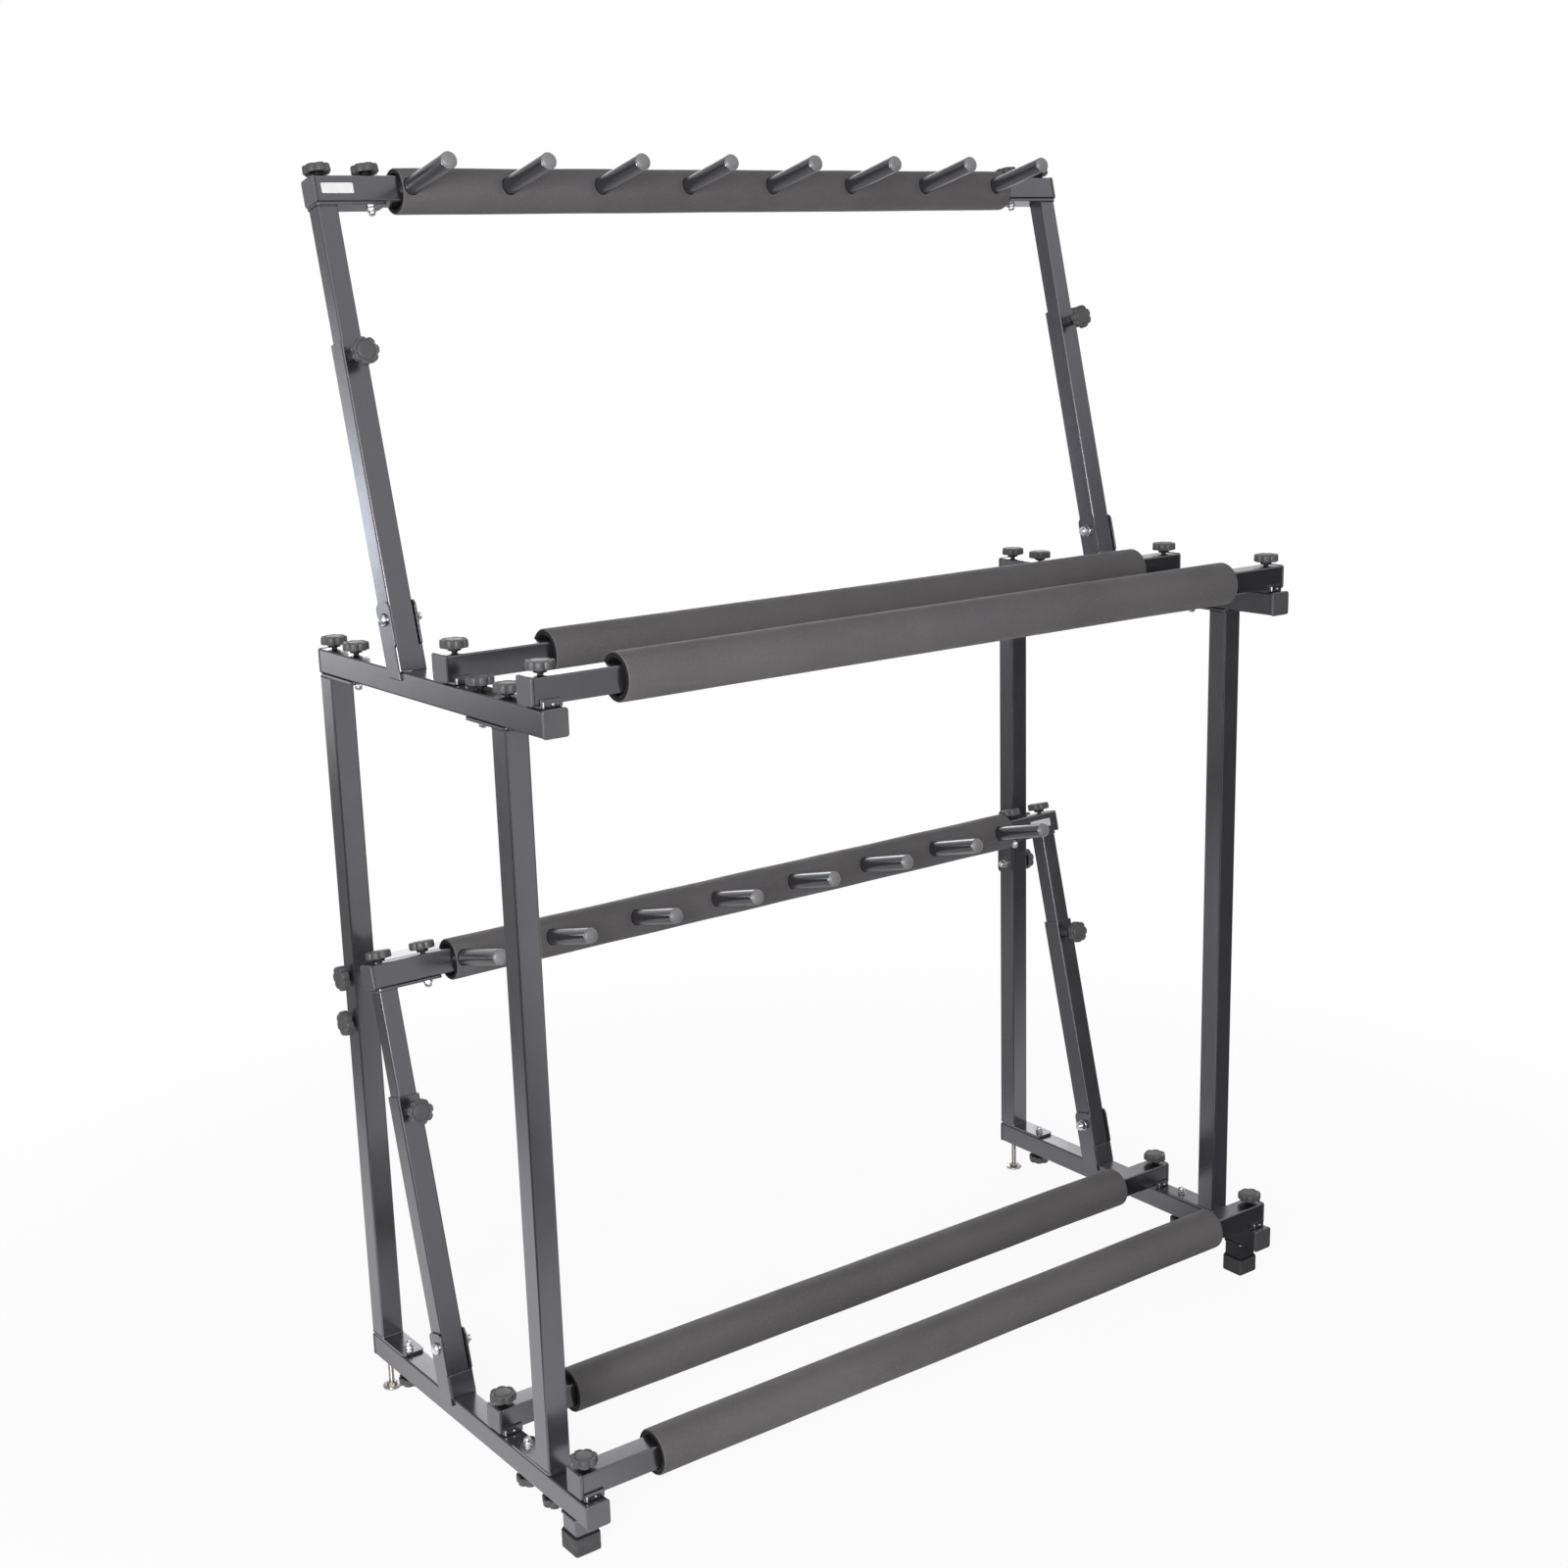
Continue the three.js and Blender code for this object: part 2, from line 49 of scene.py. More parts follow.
# ---------------------------------------------------------------- dimensions
WIDTH, DEPTH = 955, 450
TUBE, ROUND, WALL = 25, 2, 1.5  # the square tube: across, corner radius and wall
HALF = TUBE / 2
SIDE_X = (WIDTH - TUBE) / 2  # middle of each side frame
TOPS = {"upper": 828, "lower": 64}  # top of each tier's side rails
REACHES = {"upper": 410, "lower": 393}  # back bar above its pivot, along the strut
SIDES = {"left": -1, "right": 1}
BARS = {"front": -202, "rear": -47}  # crossbars, from front to rear
BAR_LIFT = 15.3  # middle of a crossbar above its rail
CROSS_OVER = {"upper": (5, 3), "lower": (0, 0)}  # crossbars past the rails, left and right
BACK_OVER = {"upper": 0, "lower": 4.5}  # back bar past both rails
FRONT_POST_Y, REAR_POST_Y = -143, 212.5
PITCH = 50  # between the two screws of a welded plate
PLATE, PLATE_LONG, PLATE_ROUND, PLATE_EDGE = 3, 75, 5, 0.45
STRETCHER_Z = 480
SEAT = 0.3  # gap between pieces that rest on each other
RAW_EDGE = 0.05  # the cut end of a welded tube
SINK = 0.2  # how far one shell of a piece runs into the next
PLUG, PLUG_DEEP, PLUG_OVER = 3, 14, 1  # plug head, whole plug, and its head past the tube
PLUG_PLAY = 0.4  # a plug's stem inside its tube
SEAM = 0.6  # open line between a tube and its plug
SHEET = 2  # thickness of brackets and saddles
SADDLE_BASE, SADDLE_LIP, SADDLE_SHORT = 2.5, 8, 3  # height of foot and lip, rail left bare
STUB_WELD, FINE_WELD, BRACKET_WELD = 1.2, 1.1, 1.25  # radii of the weld beads
WELD_IN, WELD_ROUND, WELD_LIFT = 1.2, 1.4, 0.1  # path of the bead on a plate
PIVOT_Y, PIVOT_UP = 65, 47
LEAN = math.radians(14)
BRACKET_LOW, BRACKET_CROWN = -55, 16  # lower edge and top of a pivot bracket, from the pivot
BRACKET_WEB = -28  # top of the web between its cheeks, from the pivot
BRACKET_ROUND = 6  # upper corners of its cheeks
STRUT_LOW, STRUT_HIGH = -40, 266  # ends of an outer strut, from the pivot
SLIDER, SLIDER_BORE, SLIDER_DEEP = 21, 18, 280  # inner strut, and how far it reaches down
CLAMP_Z, CLAMP_NUT, NUT_ACROSS, HEAD_ACROSS = 250, 8, 11.3, 8.5
PEG_APART = 108
PEGS = [(i - 3.5) * PEG_APART for i in range(8)]
PEG_RADIUS, PEG_STEEL, PEG_REACH = 8.5, 99.2, 103  # steel and whole length of a peg
SLEEVE_BORE, PEG_HOLE = 35, 9
CROSS_SLEEVE, CROSS_SLEEVE_LONG = 46, 784
BACK_SLEEVE, BACK_SLEEVE_LONG = 44, 788
SLIPS = {("upper", "rear"): 22}  # crossbar sleeves that sit further right than the rest
SLIP, BACK_SLIP = 3, 6  # how far the other sleeves sit to the right
STICKER, STICKER_HIGH, STICKER_ROUND, STICKER_IN = 33, 10, 1.2, 8
FOOT_Y, FOOT_LOW = -189, 3.3  # front stubs: place and lower end
CAP, CAP_WALL, CAP_LIP, CAP_TALL = 29, 1.7, 19.2, 21
LEVELLER, LEVELLER_NUT, LEVELLER_TOP = 10, 10, 95.9  # disc radius, hexagon, end of the screw


# ---------------------------------------------------------------- mesh tools
AXES = {"x": (1, 2, 0), "y": (0, 2, 1), "z": (0, 1, 2)}


class Shape:
    """Closed shells in millimetres, gathered into one mesh."""

    def __init__(self):
        self.points = []
        self.faces = []

    def loft(self, rings, loop=False):
        """Skin over rings of equal length; a loop joins the last ring to the first."""
        start, count = len(self.points), len(rings[0])
        for ring in rings:
            self.points.extend(ring)
        last = len(rings) if loop else len(rings) - 1
        for r in range(last):
            a0 = start + r * count
            b0 = start + (r + 1) % len(rings) * count
            for i in range(count):
                j = (i + 1) % count
                self.faces.append((a0 + i, a0 + j, b0 + j, b0 + i))
        if not loop:
            self.faces.append(tuple(range(start, start + count)))
            self.faces.append(tuple(range(start + last * count, start + (last + 1) * count)))
        return self

    def prism(self, axis, outline, lo, hi, at=(0, 0), edge=0.4, edge_hi=None, steps=3):
        """A solid along an axis; outline(inset) gives its section, ends are rounded."""
        edge_hi = edge if edge_hi is None else edge_hi
        rows = ends(lo, hi, edge, edge_hi, steps)
        self.loft([lay(axis, outline(inset), z, at) for z, inset in rows])
        return self

    def turned(self, axis, profile, at=(0, 0), count=32):
        """A turned solid from (radius, place along the axis) rows."""
        self.loft([lay(axis, circle(radius, count), z, at) for radius, z in profile])
        return self

    def tube(self, axis, outer, inner, lo, hi, at=(0, 0), edge=0.3):
        """An open tube with rounded rims; outer and inner give sections by inset."""
        rows = ends(lo, hi, edge, edge, 2)
        out = [lay(axis, outer(inset), z, at) for z, inset in rows]
        bore = [lay(axis, inner(-inset), z, at) for z, inset in rows]
        self.loft(out + bore[::-1], loop=True)
        return self

    def bead(self, path, normal, radius, closed=False):
        """A weld bead along a path, with the ripples that welding leaves."""
        sides, ripple, sway, tail = 8, 0.16, 0.08, 0.45
        fast, slow = 2.6, 0.9  # waves along the bead, in radians for each mm
        normal = Vector(normal)
        points = [Vector(p) for p in path]
        rings = []
        run = 0
        for i, p in enumerate(points):
            before = points[i - 1] if closed or i else p
            after = points[(i + 1) % len(points)] if closed or i + 1 < len(points) else p
            run += (p - before).length
            side = (after - before).cross(normal).normalized()
            size = radius * (1 + ripple * math.sin(run * fast) + sway * math.sin(run * slow + 1))
            if not closed and i in (0, len(points) - 1):
                size *= tail
            rings.append([p + side * size * math.cos(a) + normal * size * math.sin(a)
                          for a in (2 * math.pi * k / sides for k in range(sides))])
        self.loft(rings, loop=closed)
        return self

    def moved(self, matrix):
        self.points = [matrix @ Vector(p) for p in self.points]
        return self

    def take(self, other):
        base = len(self.points)
        self.points.extend(other.points)
        self.faces.extend(tuple(base + i for i in f) for f in other.faces)
        return self


def lay(axis, outline, z, at=(0, 0)):
    """An outline set across an axis at z, moved to at."""
    i, j, k = AXES[axis]
    ring = []
    for a, b in outline:
        p = [0, 0, 0]
        p[i], p[j], p[k] = a + at[0], b + at[1], z
        ring.append(tuple(p))
    return ring


def quarter(steps):
    """Angles of a quarter turn, from 0 to 90 degrees."""
    return [math.pi / 2 * i / steps for i in range(steps + 1)]


def ends(lo, hi, edge_lo, edge_hi, steps):
    """Rows (place, inset) of a bar whose two ends are rounded over."""
    low = [(lo + edge_lo * (1 - math.cos(a)), edge_lo * (1 - math.sin(a))) for a in quarter(steps)]
    high = [(hi - edge_hi * (1 - math.cos(a)), edge_hi * (1 - math.sin(a))) for a in quarter(steps)]
    return low + high[::-1]


def rounded(wide, high, radius, steps=5):
    """A rectangle with rounded corners, as points from its upper right corner."""
    least = 0.05
    radius = max(radius, least)
    ring = []
    for corner, (p, q) in enumerate(((1, 1), (-1, 1), (-1, -1), (1, -1))):
        for i in range(steps + 1):
            a = math.pi / 2 * (corner + i / steps)
            ring.append((p * (wide / 2 - radius) + radius * math.cos(a),
                         q * (high / 2 - radius) + radius * math.sin(a)))
    return ring


def box_section(wide, high, radius):
    return lambda inset: rounded(wide - 2 * inset, high - 2 * inset, radius - inset)


def square(size, radius):
    return box_section(size, size, radius)


def circle(radius, count):
    return [(radius * math.cos(a), radius * math.sin(a))
            for a in (2 * math.pi * k / count for k in range(count))]


def polar(count, radius):
    return [(radius(a) * math.cos(a), radius(a) * math.sin(a))
            for a in (2 * math.pi * k / count for k in range(count))]


def hexagon(across, most):
    """A hexagon of this width over its flats, its corners cut at a radius."""
    def radius(a):
        off = (a + math.pi / 6) % (math.pi / 3) - math.pi / 6
        return min(across / 2 / math.cos(off), most)
    return polar(36, radius)


def hex_body(shape, axis, across, lo, hi, at=(0, 0)):
    """A hexagon nut or head whose corners are turned down at both faces."""
    rim, bevel = across * 0.475, 0.45
    rows = [(lo, rim), (lo + bevel, across), (hi - bevel, across), (hi, rim)]
    shape.loft([lay(axis, hexagon(across, most), z, at) for z, most in rows])


def seam_path(size, radius, z, at):
    """Points round a square tube, about 1.2 mm apart, for the weld at its end."""
    apart = 1.2
    ring = rounded(size, size, radius, 6)
    path = []
    for i, p in enumerate(ring):
        q = ring[(i + 1) % len(ring)]
        parts = max(1, round(math.dist(p, q) / apart))
        path += [(at[0] + p[0] + (q[0] - p[0]) * k / parts,
                  at[1] + p[1] + (q[1] - p[1]) * k / parts, z) for k in range(parts)]
    return path


def weld(shape, size, radius, z, at, bead=FINE_WELD):
    """Add the weld round a square tube's end."""
    return shape.bead(seam_path(size, radius, z, at), (0, 0, 1), bead, closed=True)


def place(x=0, y=0, z=0, turn=None):
    matrix = Matrix.Translation((x, y, z))
    return matrix @ turn if turn else matrix


def back_matrix(tier):
    """The leaning frame of a tier: origin on the pivot, z up the strut."""
    return place(0, PIVOT_Y, TOPS[tier] + PIVOT_UP, Matrix.Rotation(-LEAN, 4, "X"))


def metres(matrix):
    """The same placement, from millimetres to metres."""
    matrix = matrix.copy()
    matrix.translation *= MM
    return matrix


def mesh_of(name, shape):
    """A smooth-shaded mesh in metres, with its sharp edges marked."""
    bm = bmesh.new()
    verts = [bm.verts.new(Vector(p) * MM) for p in shape.points]
    for face in shape.faces:
        bm.faces.new([verts[i] for i in face])
    bmesh.ops.recalc_face_normals(bm, faces=bm.faces)
    for face in bm.faces:
        face.smooth = True
    mesh = bpy.data.meshes.new(name)
    bm.to_mesh(mesh)
    bm.free()
    mesh.set_sharp_from_angle(angle=SHARP)
    return mesh


def two_tone(name, shape, main, second, chosen):
    """A mesh in two materials; chosen(face) is true where the second one goes."""
    mesh = mesh_of(name, shape)
    mesh.materials.append(main)
    mesh.materials.append(second)
    for face in mesh.polygons:
        if chosen(face):
            face.material_index = 1
    return mesh


def bake_modifiers(obj):
    """Turn an object's modifiers into plain mesh."""
    bpy.context.view_layer.update()
    graph = bpy.context.evaluated_depsgraph_get()
    mesh = bpy.data.meshes.new_from_object(obj.evaluated_get(graph))
    obj.modifiers.clear()
    obj.data = mesh


def weight_normals(obj):
    mod = obj.modifiers.new("weight", "WEIGHTED_NORMAL")
    mod.mode = "FACE_AREA"
    mod.keep_sharp = True
    bake_modifiers(obj)


def add_object(name, mesh, material=None):
    obj = bpy.data.objects.new(name, mesh)
    bpy.context.scene.collection.objects.link(obj)
    if material:
        mesh.materials.append(material)
    return obj


def piece(name, shape, material, body, slot, *nodes):
    """An object in one material that rides on a body and replaces CAD nodes."""
    obj = add_object(name, mesh_of(name, shape), material)
    weight_normals(obj)
    fitted(obj, body, slot, *nodes)


def fitted(obj, body, slot, *nodes):
    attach(obj, body)
    if nodes:
        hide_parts(*nodes)


# ---------------------------------------------------------------- materials
class Nodes:
    """A short way to write a procedural material."""

    COLOUR_A, COLOUR_B, COLOUR_OUT = 6, 7, 2  # sockets of a colour mix

    def __init__(self, name):
        self.material = bpy.data.materials.new(name)
        self.material.use_nodes = True
        self.tree = self.material.node_tree
        self.shader = self.tree.nodes["Principled BSDF"]
        self.where = self.node("ShaderNodeTexCoord").outputs["Object"]

    def node(self, kind, **settings):
        made = self.tree.nodes.new(kind)
        for key, value in settings.items():
            setattr(made, key, value)
        return made

    def link(self, source, target):
        self.tree.links.new(source, target)

    def noise(self, scale, detail=2, roughness=0.5, stretch=(1, 1, 1)):
        mapping = self.node("ShaderNodeMapping")
        mapping.inputs["Scale"].default_value = stretch
        noise = self.node("ShaderNodeTexNoise")
        noise.inputs["Scale"].default_value = scale
        noise.inputs["Detail"].default_value = detail
        noise.inputs["Roughness"].default_value = roughness
        self.link(self.where, mapping.inputs["Vector"])
        self.link(mapping.outputs["Vector"], noise.inputs["Vector"])
        return noise.outputs["Fac"]

    def spread(self, source, low, high, from_low=0.3, from_high=0.7):
        ramp = self.node("ShaderNodeMapRange")
        ramp.inputs["From Min"].default_value = from_low
        ramp.inputs["From Max"].default_value = from_high
        ramp.inputs["To Min"].default_value = low
        ramp.inputs["To Max"].default_value = high
        self.link(source, ramp.inputs["Value"])
        return ramp.outputs["Result"]

    def blend(self, factor, dark, light):
        """Colour between two; each is a colour or the output of another blend."""
        mix = self.node("ShaderNodeMix", data_type="RGBA")
        self.link(factor, mix.inputs["Factor"])
        for key, value in ((self.COLOUR_A, dark), (self.COLOUR_B, light)):
            if isinstance(value, tuple):
                mix.inputs[key].default_value = (*value, 1)
            else:
                self.link(value, mix.inputs[key])
        return mix.outputs[self.COLOUR_OUT]

    def edges(self):
        """1 along the outward edges, 0 on flat faces."""
        low, high = 0.53, 0.62
        pointed = self.node("ShaderNodeNewGeometry").outputs["Pointiness"]
        return self.spread(pointed, 0, 1, low, high)

    def bump(self, height, strength, distance, under=None):
        bump = self.node("ShaderNodeBump")
        bump.inputs["Strength"].default_value = strength
        bump.inputs["Distance"].default_value = distance
        self.link(height, bump.inputs["Height"])
        if under:
            self.link(under, bump.inputs["Normal"])
        return bump.outputs["Normal"]

    def finish(self, colour, roughness, normal=None, **sockets):
        self.link(colour, self.shader.inputs["Base Color"])
        self.link(roughness, self.shader.inputs["Roughness"])
        if normal:
            self.link(normal, self.shader.inputs["Normal"])
        for name, value in sockets.items():
            self.shader.inputs[name.replace("_", " ")].default_value = value
        return self.material


def powder_coat():
    n = Nodes("powder_coat")
    colour = n.blend(n.spread(n.noise(5, 4), 0, 1), (0.0112, 0.0110, 0.0126),
                     (0.0154, 0.0151, 0.0172))
    # painted highlight: the coat turns lighter grey along the edges, for the thin light lines that
    # rounded corners mirror
    colour = n.blend(n.spread(n.edges(), 0, 0.5, 0, 1), colour, (0.060, 0.061, 0.064))
    roughness = n.spread(n.noise(24, 5, 0.6), 0.18, 0.25)
    peel = n.bump(n.noise(420, 2), 0.20, 0.00022)
    grain = n.bump(n.noise(1500, 3, 0.6), 0.16, 0.00008, peel)
    return n.finish(colour, roughness, grain, Specular_IOR_Level=1.0, IOR=1.68,
                    Specular_Tint=(0.94, 0.91, 1.0, 1))


def moulded(name, dark, light, low, high, edge_highlight=0.35, shine=0.5):
    """Moulded plastic with a fine grain and a painted highlight: lighter grey along its edges."""
    grain = 0.2
    n = Nodes(name)
    colour = n.blend(n.spread(n.noise(30, 4), 0, 1), dark, light)
    # painted highlight: the edges blend towards a lighter grey, for the light rim lines on the
    # plastic
    highlight_grey = tuple(min(1, 2.4 * c + 0.01) for c in light)
    colour = n.blend(n.spread(n.edges(), 0, edge_highlight, 0, 1), colour, highlight_grey)
    roughness = n.spread(n.noise(60, 4), low, high)
    normal = n.bump(n.noise(1900, 2), grain, 0.00010)
    return n.finish(colour, roughness, normal, Specular_IOR_Level=shine)


def foam_skin():
    n = Nodes("foam")
    broad = n.spread(n.noise(7, 3, 0.55), 0, 1)
    colour = n.blend(broad, (0.100, 0.0955, 0.0980), (0.130, 0.1240, 0.1275))
    speck = n.spread(n.noise(650, 3, 0.65), 0, 0.5, 0.5, 0.75)
    colour = n.blend(speck, colour, (0.190, 0.182, 0.187))
    rub = n.spread(n.noise(38, 5, 0.7, (0.35, 1, 1)), 0, 0.35, 0.55, 0.8)
    colour = n.blend(rub, colour, (0.162, 0.155, 0.159))
    roughness = n.spread(n.noise(45, 4), 0.56, 0.68)
    cells = n.bump(n.noise(800, 3, 0.6), 0.35, 0.00035)
    skin = n.bump(n.noise(70, 3), 0.25, 0.0006, cells)
    return n.finish(colour, roughness, skin, Specular_IOR_Level=0.3, Sheen_Weight=0.03,
                    Sheen_Roughness=0.5)


def cut_foam_and_shade():
    """The cut ends and the bore of a sleeve: open cells look darker than the skin, and the
    near-black tone is also painted shade, for ends turned away from the lamps and a bore in shade.
    """
    n = Nodes("foam_cut_and_painted_shade")
    colour = n.blend(n.spread(n.noise(700, 3, 0.6), 0, 1), (0.010, 0.0096, 0.0098),
                     (0.024, 0.023, 0.0235))
    return n.finish(colour, n.spread(n.noise(60, 3), 0.75, 0.9),
                    n.bump(n.noise(900, 3, 0.65), 0.5, 0.0005), Specular_IOR_Level=0.2)


def rubber_skin():
    n = Nodes("rubber")
    colour = n.blend(n.spread(n.noise(60, 4), 0, 1), (0.040, 0.039, 0.042), (0.056, 0.054, 0.058))
    dust = n.spread(n.noise(300, 5, 0.7), 0, 0.25, 0.55, 0.8)
    colour = n.blend(dust, colour, (0.10, 0.098, 0.098))
    return n.finish(colour, n.spread(n.noise(90, 3), 0.55, 0.72),
                    n.bump(n.noise(1300, 3), 0.3, 0.0002))


def plated(name, dark, light):
    n = Nodes(name)
    colour = n.blend(n.spread(n.noise(160, 4, 0.6), 0, 1), dark, light)
    roughness = n.spread(n.noise(240, 4, 0.6), 0.22, 0.38)
    return n.finish(colour, roughness, n.bump(n.noise(1800, 2), 0.12, 0.0001), Metallic=1.0)


def sticker():
    n = Nodes("label")
    colour = n.blend(n.spread(n.noise(90, 4), 0, 1), (0.80, 0.80, 0.79), (0.88, 0.88, 0.87))
    return n.finish(colour, n.spread(n.noise(200, 3), 0.42, 0.55),
                    n.bump(n.noise(900, 3), 0.15, 0.0001))


COAT = powder_coat()
KNOB = moulded("knob_plastic", (0.066, 0.065, 0.068), (0.090, 0.088, 0.092), 0.40, 0.52,
               edge_highlight=0.4)
# Painted shade: a near-black copy of the knob plastic, for the shaded hub and stud under each knob
# head and the dark band along the top of the rubber caps.
PAINTED_SHADE = moulded("knob_neck_painted_shade", (0.006, 0.006, 0.006), (0.009, 0.009, 0.009), 0.5, 0.6,
               edge_highlight=0.1, shine=0.3)
PLUGS = moulded("plug_plastic", (0.058, 0.056, 0.062), (0.074, 0.0715, 0.078), 0.34, 0.44,
                shine=1.0)
CAPS = moulded("peg_cap_plastic", (0.160, 0.159, 0.165), (0.210, 0.208, 0.216), 0.30, 0.42,
               shine=1.0)
FOAM = foam_skin()
FOAM_CUT_AND_SHADE = cut_foam_and_shade()
RUBBER = rubber_skin()
ZINC = plated("zinc", (0.56, 0.57, 0.59), (0.74, 0.75, 0.76))
WORN = plated("worn_zinc", (0.30, 0.28, 0.26), (0.42, 0.40, 0.38))
PAPER = sticker()


# ---------------------------------------------------------------- shared shapes
def plugged_bar(name, axis, lo, hi, at, body, node, matrix=None, extra=None):
    """A square tube along an axis from lo to hi, with a plug in each end."""
    steel = Shape().prism(axis, square(TUBE, ROUND), lo + PLUG + SEAM, hi - PLUG - SEAM,
                          at, edge=0.25, steps=2)
    if extra:
        steel.take(extra)
    plugs = Shape()
    soft, flat = 1.0, 0.3
    for s, end in ((-1, lo), (1, hi)):
        head = sorted((end, end - s * PLUG))
        plugs.prism(axis, square(TUBE + PLUG_OVER, ROUND + 0.8), *head, at,
                    edge=soft if s < 0 else flat, edge_hi=flat if s < 0 else soft, steps=4)
        stem = sorted((end - s * (PLUG - SINK), end - s * PLUG_DEEP))
        plugs.prism(axis, square(TUBE - 2 * WALL - PLUG_PLAY, 1), *stem, at, edge=flat)
    if matrix:
        steel.moved(matrix)
        plugs.moved(matrix)
    piece(name, steel, COAT, body, "powder_coat", node)
    piece(f"{name}_plugs", plugs, PLUGS, body, "knob_plastic")


def knob_mesh(name, hub, stud):
    """Star knob with seven lobes that stands on z = 0, its head on a hub of this height.

    The lowest part of the hub is bare stud.
    """
    lobes, radius = 7, 13.5
    count = lobes * 18

    def outline(inset, lobed=1.0):
        def at(a):
            off = (a * lobes / (2 * math.pi)) % 1 - 0.5
            valley = 1.2 * math.exp(-(off / 0.16) ** 2) + 0.75 * (1 - 2 * abs(off)) ** 2
            return radius - inset - lobed * valley * (1 - 0.05 * inset)
        return polar(count, at)

    def ring(r):
        return circle(r, count)

    rows = [(ring(2.9), -hub), (ring(2.95), stud - 0.1 - hub)] if stud else []
    rows += [(ring(5.8), stud - hub), (ring(6.2), stud + 0.3 - hub), (ring(6.2), -0.5),
             (ring(6.6), -0.05), (outline(2.6, 0.9), 0), (outline(0.7), 0.05),
             (outline(0.2), 0.3), (outline(0), 0.8), (outline(0.05), 3.8), (outline(0.2), 6.6),
             (outline(0.35), 7.2), (outline(0.75), 7.65), (outline(1.4), 7.8),
             (outline(2.1, 0.8), 7.75), (outline(2.8, 0.5), 7.5), (ring(9.7), 7.1),
             (ring(9.3), 7.0), (ring(9.0), 7.05), (ring(8.7), 7.5), (ring(8.2), 7.75),
             (ring(7.2), 7.85), (ring(4), 7.95), (ring(1.2), 8.0)]
    shape = Shape().loft([lay("z", section, z + hub) for section, z in rows])
    # the hub and the stud below the head take the painted shade
    return two_tone(name, shape, KNOB, PAINTED_SHADE, lambda face: face.center.z < (hub - 0.02) * MM)


KNOB_MESH = knob_mesh("star_knob", 4.5, 1.6)
CLAMP_MESH = knob_mesh("clamp_star_knob", 9.5, 0)
spin = random.Random(11)


def knob(name, matrix, body, *nodes, mesh=KNOB_MESH):
    """A star knob, turned at random about its screw."""
    obj = add_object(name, mesh)
    obj.matrix_world = metres(matrix @ Matrix.Rotation(spin.uniform(0, 2 * math.pi), 4, "Z"))
    fitted(obj, body, "knob_plastic", *nodes)


DOWN = Matrix.Rotation(math.pi, 4, "X")
FORWARD = Matrix.Rotation(math.pi / 2, 4, "X")


def sideways(s):
    """Turns z towards x, to the right for 1 and to the left for -1."""
    return Matrix.Rotation(s * math.pi / 2, 4, "Y")


def bolt_head(matrix):
    """A domed cap nut with its washer, standing on z = 0."""
    head = Shape()
    hex_body(head, "z", HEAD_ACROSS, 0.2, 3.4)
    head.turned("z", [(3.7, 3.3), (3.95, 3.7), (3.95, 4.6), (3.75, 5.8), (3.2, 6.9), (2.3, 7.6),
                      (1.2, 7.95), (0.3, 8.0)])
    head.turned("z", [(5.0, 0), (5.15, 0.12), (5.0, 0.3)])
    return head.moved(matrix)


# ---------------------------------------------------------------- side rails
def leaned(u, v, tier, x):
    """A point in the leaning frame of a tier, from across (u) and up the strut (v)."""
    c, s = math.cos(LEAN), math.sin(LEAN)
    return (x, PIVOT_Y + u * c + v * s, TOPS[tier] + PIVOT_UP - u * s + v * c)


